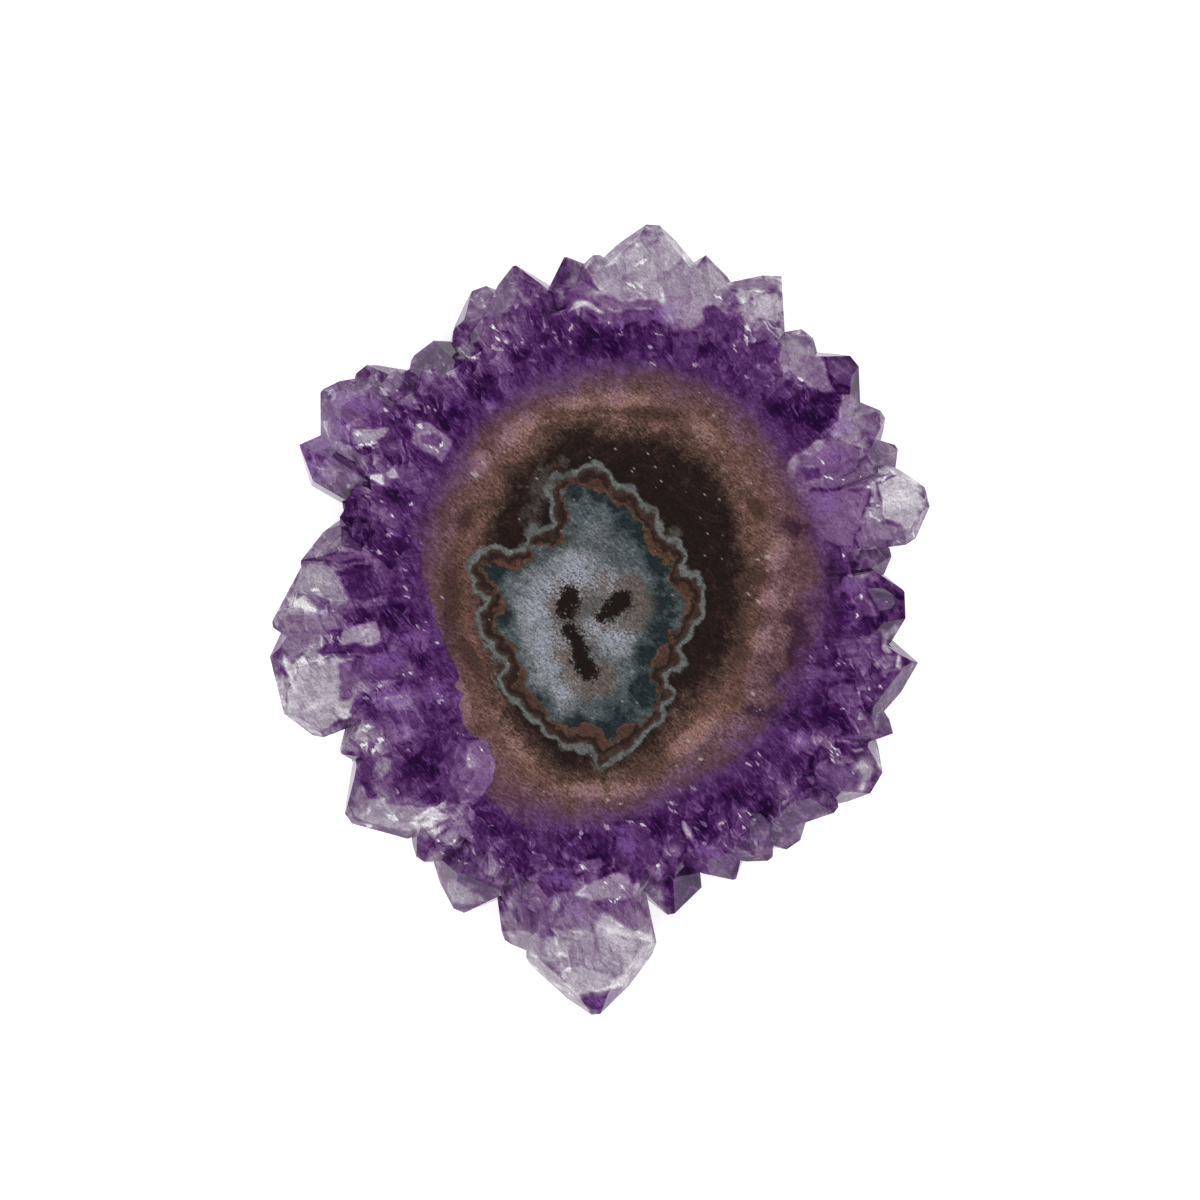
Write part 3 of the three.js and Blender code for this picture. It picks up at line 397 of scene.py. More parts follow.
# Facets, films and broken faces under the upper cut: how light each looks, and its corners. A later one
# lies over an earlier one.
SHAPES = [
    # at the top
    (0.46, [(-3.0, 25.6), (1.0, 23.2), (4.4, 23.8), (5.8, 21.8), (9.4, 22.8), (11.4, 25.0), (9.0, 27.0),
            (0.0, 27.6)]),
    (0.62, [(-2.2, 26.2), (1.2, 24.4), (4.4, 24.8), (5.8, 22.9), (9.4, 23.8), (10.8, 26.0), (9.0, 27.4),
            (0.0, 28.0)]),
    (0.80, [(-1.6, 26.6), (1.4, 25.2), (4.4, 25.6), (5.8, 23.6), (9.4, 24.6), (10.4, 26.6), (7.0, 30.2),
            (3.4, 32.2), (-0.6, 29.6)]),
    (0.34, [(5.5, 22.8), (8.0, 22.8), (7.6, 19.8), (5.8, 19.6)]),
    (0.75, [(5.0, 25.2), (6.0, 23.4), (7.3, 22.9), (9.5, 25.2), (10.6, 27.0), (8.9, 28.6), (7.4, 29.0),
            (4.6, 27.2)]),
    (0.52, [(1.6, 30.4), (2.9, 31.2), (4.0, 31.2), (2.4, 30.0)]),
    (0.74, [(2.2, 29.6), (3.0, 30.4), (5.3, 30.9), (5.0, 30.2), (3.4, 29.8)]),
    (0.46, [(0.1, 29.1), (2.0, 30.3), (2.3, 29.7), (1.6, 29.1)]),
    (0.74, [(-1.2, 28.3), (1.5, 29.3), (1.3, 28.4), (-0.6, 27.7)]),
    (0.76, [(1.9, 27.3), (2.6, 26.9), (4.3, 25.6), (3.6, 25.6), (2.4, 26.2)]),
    (0.30, [(-4.0, 27.2), (-2.9, 28.6), (-2.4, 27.6), (-2.9, 26.5), (-3.8, 26.2)]),
    (0.45, [(-2.9, 28.7), (-1.2, 27.9), (0.2, 26.0), (-0.6, 26.3), (-2.4, 27.6)]),
    (0.58, [(-2.9, 26.4), (-2.3, 27.4), (-0.6, 26.1), (-1.0, 25.6)]),
    (0.82, [(-2.4, 24.5), (-2.0, 25.3), (-0.6, 25.2), (0.3, 24.4), (-1.3, 24.9)]),
    (0.66, [(-3.6, 26.2), (-2.9, 26.0), (-2.6, 25.0), (-3.4, 24.8)]),
    (0.32, [(8.2, 24.8), (9.2, 24.8), (11.2, 23.8), (11.4, 22.3), (10.4, 22.0), (8.4, 23.4)]),
    # at the upper right
    (0.47, [(10.3, 26.4), (10.8, 26.9), (14.1, 27.1), (13.9, 26.2)]),
    (0.76, [(11.3, 24.6), (12.0, 25.6), (14.0, 26.1), (14.3, 25.0), (14.0, 23.6), (12.0, 23.9)]),
    (0.76, [(14.1, 26.9), (14.9, 24.2), (14.3, 24.5)]),
    (0.75, [(14.1, 24.0), (15.0, 23.8), (15.2, 22.9), (14.2, 22.4)]),
    (0.69, [(14.3, 22.3), (15.4, 22.5), (17.6, 21.1), (18.0, 19.5), (18.9, 18.1), (17.5, 18.0), (15.0, 19.6),
            (14.1, 21.0)]),
    (0.30, [(12.0, 22.0), (13.8, 22.0), (14.1, 20.9), (13.3, 20.2), (12.2, 20.2), (11.6, 21.0)]),
    (0.27, [(15.3, 22.6), (16.6, 22.7), (19.9, 20.5), (18.0, 20.6), (17.5, 21.2)]),
    (0.43, [(18.0, 20.6), (19.9, 20.5), (20.4, 19.4), (20.1, 18.4), (19.0, 18.6), (18.0, 19.6)]),
    (0.16, [(17.4, 17.9), (18.5, 18.2), (19.0, 16.5), (17.8, 16.0), (17.1, 16.9)]),
    (0.48, [(17.3, 16.6), (18.5, 16.3), (17.7, 16.0)]),
    (0.68, [(19.0, 17.9), (20.4, 18.0), (21.0, 15.2), (20.6, 14.2), (19.6, 14.0), (18.2, 14.9),
            (19.0, 16.2)]),
    (0.50, [(20.3, 18.0), (22.0, 16.6), (22.8, 14.4), (23.5, 13.0), (23.6, 12.0), (21.6, 13.6),
            (21.0, 15.0)]),
    (0.37, [(21.8, 13.6), (22.6, 13.9), (23.4, 13.6), (23.2, 13.0), (22.2, 13.0)]),
    (0.60, [(14.4, 11.5), (15.4, 13.1), (16.6, 14.0), (18.8, 14.7), (20.8, 13.4), (22.2, 11.6), (20.9, 10.4),
            (17.0, 10.4), (15.8, 9.8), (14.6, 10.8)]),
    (0.78, [(14.5, 11.2), (14.8, 12.4), (15.5, 13.2), (15.8, 12.6), (15.2, 10.4)]),
    (0.74, [(15.9, 13.3), (17.0, 14.2), (18.2, 14.6), (17.8, 13.9), (16.6, 13.2)]),
    (0.35, [(15.9, 12.2), (17.4, 12.0), (17.5, 11.1), (16.2, 10.9)]),
    (0.56, [(15.8, 10.3), (21.5, 10.3), (20.8, 8.0), (20.1, 6.0), (18.9, 5.7), (17.0, 7.2), (15.8, 8.2)]),
    (0.90, [(22.0, 10.9), (23.5, 11.5), (25.2, 10.9), (26.0, 10.2), (25.5, 8.0), (24.4, 7.2), (22.5, 8.0)]),
    (0.62, [(20.2, 7.0), (21.6, 8.0), (24.8, 7.1), (22.3, 5.7), (20.6, 5.2)]),
    # at the right
    (0.46, [(18.9, 5.7), (20.1, 6.0), (20.2, 4.6), (19.3, 4.4)]),
    (0.56, [(20.1, 4.9), (22.3, 5.4), (22.7, 5.0), (22.2, 4.3), (21.0, 4.4)]),
    (0.38, [(20.0, 4.2), (22.1, 4.3), (23.5, 3.0), (22.4, 3.4), (19.6, 3.6)]),
    (0.52, [(19.2, 3.5), (22.3, 3.4), (21.0, 2.2), (18.2, 2.0), (18.9, 2.8)]),
    (0.72, [(19.4, 3.7), (22.2, 3.6), (22.2, 3.4), (19.5, 3.4)]),
    (0.46, [(20.0, 2.0), (21.2, 2.1), (22.2, 0.4), (20.4, 0.2)]),
    (0.36, [(22.2, 2.6), (23.0, 1.2), (23.4, 0.2), (22.0, 0.4), (21.0, 1.8)]),
    (0.26, [(22.9, 2.7), (23.4, 2.6), (24.1, 0.3), (24.0, -0.3), (23.4, -0.1), (23.0, 1.3)]),
    (0.62, [(23.3, -0.2), (24.1, -0.3), (24.2, -1.3), (23.5, -1.4)]),
    (0.80, [(22.5, -0.9), (23.3, -0.8), (23.0, -2.2), (23.2, -2.8), (22.5, -2.7), (22.2, -2.2)]),
    (0.24, [(23.9, -1.9), (24.8, -4.0), (24.0, -4.1), (23.6, -2.2)]),
    (0.90, [(23.5, -2.2), (24.0, -3.6), (23.9, -4.0), (23.4, -3.9)]),
    (0.62, [(21.6, -3.4), (22.1, -3.1), (22.4, -3.6), (22.0, -4.0)]),
    (0.40, [(23.0, -4.2), (24.7, -4.1), (23.6, -5.0), (22.0, -5.0)]),
    (0.28, [(21.0, -5.3), (23.0, -5.0), (22.7, -6.0), (21.6, -6.2)]),
    (0.45, [(15.9, -3.9), (16.4, -3.4), (19.0, -4.0), (20.4, -4.6), (18.0, -5.0), (15.8, -4.6)]),
    (0.46, [(18.2, -5.2), (20.0, -4.8), (21.0, -6.8), (19.2, -7.0), (18.0, -6.0)]),
    # at the lower right
    (0.28, [(21.3, -7.0), (22.0, -7.1), (23.3, -9.3), (22.6, -9.5), (21.9, -8.5)]),
    (0.66, [(21.1, -7.5), (21.3, -7.5), (22.6, -9.4), (22.4, -9.5)]),
    (0.52, [(18.6, -9.3), (20.6, -9.0), (21.3, -8.5), (22.8, -9.6), (22.0, -10.2), (21.0, -9.7)]),
    (0.20, [(18.8, -9.8), (21.0, -9.9), (21.5, -10.2), (21.3, -10.7), (20.2, -10.9), (19.3, -10.7)]),
    (0.78, [(20.0, -10.2), (21.3, -10.2), (21.3, -10.4), (20.2, -10.4)]),
    (0.44, [(17.0, -12.0), (18.5, -11.2), (19.7, -11.5), (20.5, -13.0), (20.0, -13.9), (18.3, -14.2),
            (17.0, -13.0)]),
    (0.50, [(20.2, -11.2), (21.3, -10.9), (22.5, -11.8), (21.6, -13.8), (20.3, -14.6), (18.6, -14.4),
            (20.4, -13.6)]),
    (0.80, [(20.0, -11.4), (21.0, -10.9), (21.7, -11.6), (21.7, -12.4), (21.0, -12.9), (20.4, -12.4)]),
    (0.82, [(20.6, -13.1), (21.1, -13.0), (21.2, -13.7), (20.6, -13.6)]),
    (0.60, [(16.9, -12.0), (17.3, -11.3), (18.0, -10.8), (18.2, -11.3), (17.7, -11.9)]),
    (0.44, [(15.6, -14.4), (17.0, -13.7), (18.2, -13.6), (18.0, -14.1), (16.4, -15.0)]),
    (0.28, [(16.0, -15.0), (18.2, -14.4), (18.5, -15.1), (17.0, -16.0)]),
    (0.58, [(14.3, -17.7), (16.4, -16.3), (18.4, -15.2), (17.0, -16.8), (16.0, -18.1), (14.2, -18.5)]),
    (0.50, [(12.0, -16.7), (13.0, -16.4), (13.4, -17.2), (12.9, -17.8), (12.2, -17.2)]),
    (0.58, [(12.1, -18.2), (12.8, -17.9), (14.3, -18.4), (14.0, -18.9), (12.8, -19.2), (12.0, -18.9)]),
    (0.78, [(6.5, -15.8), (6.9, -15.9), (7.4, -17.5), (6.7, -17.1), (6.4, -16.6)]),
    (0.44, [(7.0, -18.2), (8.5, -18.0), (11.6, -18.8), (10.7, -19.8), (10.4, -20.9), (7.9, -20.5)]),
    # at the bottom
    (0.24, [(6.2, -18.8), (7.0, -18.2), (7.7, -20.8), (7.0, -20.6)]),
    (0.52, [(3.6, -20.8), (4.3, -19.4), (4.8, -19.4), (5.4, -22.4), (5.6, -23.2), (4.2, -23.3),
            (3.9, -22.4)]),
    (0.26, [(5.3, -20.7), (7.1, -20.4), (7.6, -20.8), (6.4, -23.7), (5.6, -23.9), (4.6, -23.6),
            (5.7, -23.2)]),
    (0.77, [(-8.2, -23.0), (-6.6, -22.0), (-4.4, -22.6), (-1.6, -21.6), (2.4, -20.6), (4.6, -21.4),
            (5.8, -24.4), (6.0, -26.2), (3.4, -29.6), (0.8, -32.0), (-1.4, -32.0), (-4.4, -29.6),
            (-7.0, -27.4)]),
    (0.55, [(-7.4, -21.8), (-5.6, -20.2), (-3.0, -19.9), (-0.6, -21.2), (0.4, -22.6), (-0.4, -24.6),
            (-2.2, -24.9), (-4.4, -24.1), (-6.2, -23.6)]),
    (0.34, [(1.2, -16.2), (3.2, -15.8), (3.9, -16.8), (4.8, -18.4), (4.6, -19.2), (2.6, -21.0),
            (1.2, -19.3)]),
    (0.24, [(2.0, -19.8), (2.6, -21.0), (3.3, -20.3), (3.9, -19.4), (2.8, -18.8)]),
    (0.30, [(-2.8, -18.6), (-1.6, -19.1), (-0.2, -18.4), (-1.0, -17.0), (-2.2, -17.3)]),
    (0.54, [(-1.8, -19.3), (-0.1, -18.6), (0.6, -19.4), (-1.0, -20.0), (-2.1, -20.3)]),
    (0.27, [(-4.6, -19.8), (-2.6, -19.8), (-2.3, -21.3), (-4.0, -21.9), (-5.0, -20.8)]),
    (0.74, [(-1.8, -21.7), (-0.6, -20.6), (1.6, -19.8), (2.3, -20.8), (3.0, -21.3), (3.0, -22.2),
            (-0.2, -22.2)]),
    (0.58, [(-0.2, -22.4), (1.2, -22.3), (3.1, -22.0), (4.3, -23.8), (4.5, -25.4), (2.0, -24.5),
            (1.0, -23.8)]),
    (0.78, [(-0.5, -24.2), (3.0, -25.2), (4.3, -25.4), (4.6, -26.3), (3.2, -28.0), (0.6, -27.0),
            (-0.2, -26.0)]),
    (0.90, [(0.1, -23.3), (0.9, -23.6), (2.0, -24.3), (2.6, -24.7), (4.0, -24.9), (4.1, -25.3), (2.2, -25.2),
            (1.0, -24.9), (-0.2, -24.3)]),
    (0.86, [(-3.0, -28.0), (-1.8, -27.2), (1.0, -28.0), (1.0, -29.1), (-0.8, -29.4), (-1.8, -30.0),
            (-2.8, -29.2)]),
    (0.80, [(1.1, -28.3), (2.0, -27.7), (2.4, -28.3), (2.3, -29.1), (1.5, -29.2)]),
    (0.36, [(-1.6, -30.3), (-0.6, -29.5), (1.7, -29.2), (1.8, -29.9), (0.4, -31.3), (-0.6, -31.3)]),
    (0.68, [(-8.0, -23.0), (-6.6, -22.6), (-4.5, -25.0), (-3.9, -26.8), (-6.4, -26.7), (-7.0, -25.0)]),
    (0.54, [(-7.3, -22.3), (-5.0, -22.0), (-4.0, -23.0), (-3.8, -25.0), (-5.2, -25.0), (-6.8, -23.5)]),
    (0.66, [(-6.3, -26.6), (-4.7, -26.9), (-3.6, -27.6), (-2.2, -30.0), (-6.0, -27.2)]),
    (0.62, [(-2.8, -22.6), (-1.2, -22.0), (0.0, -23.4), (-0.6, -24.8), (-3.8, -24.4)]),
    (0.80, [(-3.5, -25.3), (-1.9, -25.2), (-2.6, -26.7), (-3.3, -26.4)]),
    (0.76, [(-4.3, -26.9), (-3.6, -26.1), (-3.1, -27.4), (-3.9, -27.3)]),
    (0.70, [(-4.1, -22.6), (-3.6, -21.9), (-3.0, -22.0), (-3.1, -22.9), (-3.6, -23.2)]),
    # at the lower left
    (0.38, [(-11.8, -9.5), (-9.1, -9.4), (-8.2, -11.5), (-9.3, -14.0), (-11.4, -14.9), (-12.9, -13.4),
            (-12.6, -11.0)]),
    (0.48, [(-11.0, -9.4), (-9.1, -9.4), (-8.2, -11.5), (-9.3, -14.0), (-11.0, -14.5), (-11.9, -13.0),
            (-11.6, -11.0)]),
    (0.60, [(-10.2, -9.4), (-9.1, -9.4), (-8.6, -10.0), (-8.2, -11.5), (-8.4, -12.8), (-9.3, -14.0),
            (-10.6, -13.4), (-9.9, -12.2), (-10.6, -11.0)]),
    (0.40, [(-20.5, -10.8), (-19.3, -10.3), (-18.9, -12.9), (-19.8, -14.6), (-20.4, -13.0)]),
    (0.36, [(-19.3, -10.4), (-17.6, -11.0), (-17.9, -12.6), (-18.9, -12.9)]),
    (0.24, [(-18.9, -12.9), (-18.1, -12.8), (-17.6, -14.0), (-18.3, -14.5)]),
    (0.62, [(-18.9, -12.9), (-19.8, -14.6), (-19.6, -15.3), (-18.4, -15.6), (-18.0, -14.6)]),
    (0.66, [(-17.4, -10.8), (-16.4, -11.0), (-16.9, -12.4), (-17.5, -12.9), (-17.8, -12.4)]),
    (0.72, [(-18.3, -14.1), (-16.5, -14.5), (-13.3, -14.8), (-11.7, -15.5), (-13.3, -16.6), (-15.0, -16.9),
            (-17.0, -16.6), (-19.7, -15.7), (-18.4, -15.2)]),
    (0.92, [(-14.7, -15.6), (-13.4, -14.9), (-12.1, -15.3), (-11.9, -15.8), (-13.2, -15.8)]),
    (0.94, [(-14.8, -16.1), (-13.2, -16.0), (-13.3, -16.3), (-14.6, -16.2)]),
    (0.30, [(-19.2, -16.5), (-16.5, -16.8), (-14.6, -17.2), (-14.9, -18.0), (-17.3, -17.3)]),
    (0.46, [(-14.9, -17.3), (-13.3, -17.6), (-12.6, -21.0), (-13.0, -21.5), (-14.4, -19.0), (-15.0, -18.0)]),
    (0.58, [(-14.0, -18.4), (-13.1, -18.0), (-12.5, -21.4), (-13.6, -20.2)]),
    (0.56, [(-12.9, -17.0), (-12.0, -16.4), (-10.4, -15.9), (-10.1, -16.8), (-11.0, -17.5), (-13.0, -17.6)]),
    (0.30, [(-13.0, -17.9), (-11.0, -17.9), (-10.2, -19.0), (-10.0, -20.6), (-12.4, -20.6), (-12.9, -19.4)]),
    (0.20, [(-12.0, -18.0), (-11.0, -18.0), (-10.3, -19.1), (-12.0, -19.0)]),
    (0.16, [(-12.5, -20.3), (-10.0, -20.4), (-10.0, -20.7), (-12.5, -20.7)]),
    (0.70, [(-12.5, -20.8), (-10.0, -20.7), (-9.9, -22.0), (-10.0, -22.9), (-11.6, -23.1), (-12.9, -21.4)]),
    (0.24, [(-10.0, -20.0), (-9.0, -20.2), (-8.4, -22.0), (-9.0, -22.3), (-9.9, -21.4)]),
    (0.62, [(-8.5, -20.1), (-7.5, -20.4), (-7.9, -21.6), (-8.6, -21.9)]),
    (0.68, [(-9.9, -21.5), (-9.0, -22.3), (-8.9, -22.6), (-9.9, -22.9)]),
    # at the left
    (0.82, [(-23.7, -3.8), (-22.0, -3.1), (-19.5, -2.9), (-19.4, -6.2), (-19.8, -7.3), (-21.8, -8.8),
            (-24.0, -8.4), (-25.1, -7.9), (-24.7, -5.2)]),
    (0.50, [(-20.7, -3.4), (-19.4, -3.1), (-19.4, -6.2), (-20.6, -6.2)]),
    (0.86, [(-22.4, -3.4), (-21.0, -2.8), (-20.2, -2.9), (-21.4, -3.3)]),
    (0.84, [(-21.4, -7.2), (-20.3, -7.0), (-19.5, -7.5), (-20.0, -7.9)]),
    (0.42, [(-19.4, -3.0), (-17.0, -2.6), (-15.2, -2.2), (-15.0, -4.0), (-16.2, -4.6), (-19.3, -5.0)]),
    (0.26, [(-22.6, -2.4), (-20.9, -1.8), (-17.0, -1.6), (-17.0, -2.4), (-17.8, -2.8), (-20.0, -2.5),
            (-22.0, -2.8)]),
    (0.74, [(-20.6, -0.8), (-18.6, -0.1), (-17.7, -0.1), (-17.2, -1.7), (-18.0, -1.9), (-20.6, -2.0)]),
    (0.44, [(-18.6, -0.9), (-18.4, -0.9), (-18.1, -1.9), (-18.3, -1.9)]),
    (0.62, [(-24.9, 0.8), (-22.5, 0.4), (-20.2, 0.6), (-20.4, -0.6), (-22.0, -1.2), (-24.5, -3.5),
            (-25.5, -2.0)]),
    (0.40, [(-26.1, -1.0), (-25.3, -0.6), (-25.2, -3.0), (-24.8, -4.4), (-26.0, -4.0)]),
    (0.22, [(-21.0, 4.0), (-18.0, 4.4), (-17.2, 2.0), (-19.0, 1.4), (-19.8, 1.8), (-20.5, 3.2)]),
    (0.52, [(-22.5, 5.0), (-20.5, 5.4), (-18.5, 5.2), (-18.8, 4.8), (-21.5, 4.5)]),
    (0.70, [(-24.0, 4.1), (-23.0, 4.6), (-21.5, 4.4), (-20.8, 3.6), (-19.9, 1.6), (-21.0, 1.5), (-22.0, 2.0),
            (-24.5, 2.0)]),
    (1.00, [(-24.9, 1.9), (-24.5, 1.8), (-23.3, 1.2), (-22.3, 0.9), (-22.4, 0.6), (-23.3, 0.7),
            (-24.6, 1.3)]),
    (0.24, [(-20.8, 10.0), (-19.6, 10.4), (-19.3, 8.0), (-20.7, 8.2)]),
    # at the upper left
    (0.52, [(-24.1, 13.3), (-23.4, 14.8), (-21.0, 14.6), (-20.8, 14.0), (-22.5, 13.0)]),
    (0.70, [(-23.8, 13.2), (-21.4, 12.2), (-21.1, 11.6), (-21.8, 11.2), (-23.9, 12.5)]),
    (0.28, [(-22.2, 13.0), (-20.6, 13.4), (-19.9, 12.4), (-20.6, 11.4), (-21.2, 12.2)]),
    (0.50, [(-20.3, 11.4), (-19.6, 12.1), (-19.0, 11.8), (-19.6, 10.9)]),
    (0.48, [(-21.5, 17.2), (-19.5, 17.8), (-17.4, 17.6), (-17.4, 16.6), (-20.4, 15.6), (-21.8, 15.8)]),
    (0.76, [(-19.7, 15.2), (-16.6, 15.3), (-17.0, 14.4), (-18.4, 13.7), (-19.7, 13.8)]),
    (0.98, [(-18.6, 11.4), (-18.0, 11.7), (-17.3, 11.6), (-17.0, 10.6), (-17.3, 10.6)]),
    (0.80, [(-17.1, 11.6), (-16.1, 12.6), (-15.8, 11.2), (-16.8, 11.3)]),
    (0.44, [(-16.3, 12.2), (-15.0, 12.0), (-13.6, 10.4), (-14.6, 9.9), (-15.9, 11.2)]),
    (0.66, [(-14.6, 15.8), (-14.0, 15.9), (-12.7, 15.1), (-11.5, 14.3), (-12.2, 13.0), (-12.4, 12.4),
            (-14.9, 14.0)]),
    (0.42, [(-14.2, 14.8), (-12.6, 14.6), (-12.6, 13.8), (-13.4, 13.6), (-14.2, 14.1)]),
    (0.12, [(-15.7, 16.4), (-15.4, 16.4), (-15.3, 16.0), (-15.6, 16.0)]),
    (0.16, [(-15.2, 18.7), (-14.8, 18.6), (-15.1, 18.0), (-15.3, 18.1)]),
    (0.52, [(-9.8, 17.9), (-8.1, 16.9), (-8.9, 16.7)]),
    (0.66, [(-11.4, 22.4), (-10.6, 22.8), (-10.1, 22.2), (-9.3, 20.5), (-11.0, 21.0)]),
    (0.12, [(-12.5, 22.1), (-11.4, 22.2), (-11.6, 21.8), (-12.3, 21.7)]),
    (0.54, [(-10.8, 24.8), (-10.0, 25.2), (-9.0, 23.8), (-10.0, 23.2), (-10.8, 23.0)]),
    (0.28, [(-7.9, 27.0), (-7.1, 27.0), (-7.1, 26.0), (-7.7, 26.0)]),
    (0.58, [(-7.1, 26.9), (-6.5, 26.8), (-5.4, 24.9), (-6.8, 25.8)]),
]

# ---- the finish and the stage ----

QUARTZ_IOR = 1.544
GRAIN_SLANT = math.radians(-40)

# The floor lies just under the slice, in millimetres, and glows a little.
FLOOR_DROP = 0.05
FLOOR_GLOW = 0.6
WHITE = (1, 1, 1, 1)
SKY_STRENGTH = 0.04

# The softboxes, in metres and degrees.
SOFTBOX_BEARINGS = (45, 135, 225, 315)
SOFTBOX_DISTANCE = 0.45
SOFTBOX_SIZE = 0.3
SOFTBOX_LIFT = 42

# The camera: its sensor in millimetres, what it looks at, in millimetres, and how near it sees, in metres.
SENSOR_WIDTH = 36
VIEW_MIDDLE = 1.6
VIEW_LEVEL = 4.5
NEAREST_SEEN = 0.01


# ---- measuring ----


def between(a, b, c, d, share):
    """A smooth curve from b to c, a share of the way along. a comes before them and d after them."""
    bend = 2 * a - 5 * b + 4 * c - d + share * (3 * (b - c) + d - a)
    return b + 0.5 * share * (c - a + share * bend)


def radius_at(radii, bearing):
    """A smooth radius at bearings in degrees, through radii spaced evenly round a turn."""
    place = np.mod(bearing, 360.0) / (360.0 / len(radii))
    before = np.floor(place).astype(int) % len(radii)
    table = np.array(radii)
    return between(*(table[(before + k) % len(radii)] for k in (-1, 0, 1, 2)), place - np.floor(place))


def straight_radius_at(radii, bearing):
    """As radius_at, but straight from one radius to the next, which the crystals' lengths go by."""
    place = (bearing % 360) / (360 / len(radii))
    before = math.floor(place)
    share = place - before
    return radii[before] * (1 - share) + radii[(before + 1) % len(radii)] * share


def smoothed(points, steps):
    """A closed outline through the points, with round corners."""
    around = [np.roll(np.array(points), k, axis=0) for k in (1, 0, -1, -2)]
    rows = [between(*around, step / steps) for step in range(steps)]
    return np.stack(rows, axis=1).reshape(-1, 2)


def distance_into(outline, places):
    """How far places lie inside a closed outline. Outside it the distance is negative."""
    nearest = np.full(len(places), FAR)
    inside = np.zeros(len(places), bool)
    for p, q in zip(outline, np.roll(outline, -1, axis=0)):
        along = q - p
        share = np.clip((places - p) @ along / (along @ along), 0, 1)
        nearest = np.minimum(nearest, np.hypot(*(places - p - share[:, None] * along).T))
        crosses = (p[1] > places[:, 1]) != (q[1] > places[:, 1])
        rise = np.where(q[1] == p[1], 1, q[1] - p[1])
        inside ^= crosses & (places[:, 0] < p[0] + (places[:, 1] - p[1]) * along[0] / rise)
    return np.where(inside, nearest, -nearest)


def distance_to_chains(chains, places):
    """How far places lie from chains of round spots. Inside a spot the distance is negative."""
    nearest = np.full(len(places), FAR)
    for chain in chains:
        for (ax, ay, ar), (bx, by, br) in zip(chain, chain[1:]):
            along = np.array([bx - ax, by - ay])
            share = np.clip((places - (ax, ay)) @ along / (along @ along), 0, 1)
            middle = np.array([ax, ay]) + share[:, None] * along
            reach = np.hypot(*(places - middle).T) - (ar + (br - ar) * share)
            nearest = np.minimum(nearest, reach)
    return nearest


def patches(rows, places):
    """How deep places lie in round soft patches: 1 at a patch's middle and 0 at its edge."""
    depth = np.zeros(len(places))
    for x, y, radius in rows:
        away = np.hypot(places[:, 0] - x, places[:, 1] - y) / radius
        depth = np.maximum(depth, np.clip(1 - away * away, 0, 1))
    return depth


def marks(rows, places, power=2.0, lowest=0.0):
    """As patches, for long marks. power 2 gives ellipses and 1 gives slivers with pointed ends."""
    depth = np.full(len(places), lowest)
    for x, y, length, width, angle in rows:
        turn = math.radians(angle)
        dx, dy = places[:, 0] - x, places[:, 1] - y
        along = np.abs(dx * math.cos(turn) + dy * math.sin(turn)) / (length / 2)
        across = np.abs(dy * math.cos(turn) - dx * math.sin(turn)) / (width / 2)
        depth = np.maximum(depth, 1 - (along**power + across**power) ** (1 / power))
    return depth


def painted(shapes, places, softness):
    """Paints the shapes one over another. Gives each place its lightness, how far it is covered, and how near
    it is to an outline."""
    level, cover, outline = (np.zeros(len(places)) for _ in range(3))
    for lightness, corners in shapes:
        corners = np.array(corners)
        low, high = corners.min(axis=0) - 1, corners.max(axis=0) + 1
        near = np.flatnonzero(np.all((places > low) & (places < high), axis=1))
        inside = distance_into(corners, places[near])
        share = np.clip(inside / softness + 0.5, 0, 1)
        level[near] += (lightness - level[near]) * share
        cover[near] += (1 - cover[near]) * share
        line = np.clip(1 - np.abs(inside) / softness, 0, 1)
        outline[near] = np.maximum(outline[near] * (1 - share), line)
    return level, cover, outline


def upper_share(places):
    """1 near the upper cut and 0 well below it, for what is seen only from above."""
    low, high = UPPER_FADE
    return np.clip((places[:, 2] - low) / (high - low), 0, 1)


# ---- the crystals ----


def seeded(seed):
    """Repeatable numbers from 0 to 1, the same ones that the solids were made with."""
    factor, step, limit = 1664525, 1013904223, 2**32
    state = seed
    while True:
        state = (state * factor + step) % limit
        yield state / limit


def small_crystals():
    """The rows of the small crystals, laid out like LARGE_CRYSTALS."""
    rows, draw = [], seeded(SEED)
    for level, lean, count in SMALL_RINGS:
        for i in range(count):
            at = ((i + UNEVEN_SPACING * next(draw)) / count) * 360
            reach = straight_radius_at(NOTCH_RADII, at) - SMALL_SHORTFALL * next(draw)
            girth = SMALL_GIRTH[0] + (SMALL_GIRTH[1] - SMALL_GIRTH[0]) * next(draw)
            own_level = level + SMALL_SPREAD["level"] * (next(draw) - 0.5)
            own_lean = lean + SMALL_SPREAD["lean"] * (next(draw) - 0.5)
            swing = SMALL_SPREAD["swing"] * (next(draw) - 0.5)
            roll, skew, ridge = (SMALL_SPREAD[k] * next(draw) for k in ("roll", "skew", "ridge"))
            rows.append((at, reach, girth, own_level, own_lean, swing, roll, skew, ridge))
    look = seeded(SEED + 1)
    return [row + (SMALL_PALE * next(look), SMALL_LIGHT + SMALL_LIGHT_SPREAD * next(look)) for row in rows]


def highest_corner(faces, offsets):
    """How high the highest point is where three of a crystal's end faces meet and no other cuts it off."""
    corners = []
    for three in itertools.combinations(range(len(faces)), 3):
        chosen = list(three)
        if abs(np.linalg.det(faces[chosen])) >= TINY:
            corners.append(np.linalg.solve(faces[chosen], offsets[chosen]))
    return max(corner[1] for corner in corners if np.all(faces @ corner <= offsets + TINY))


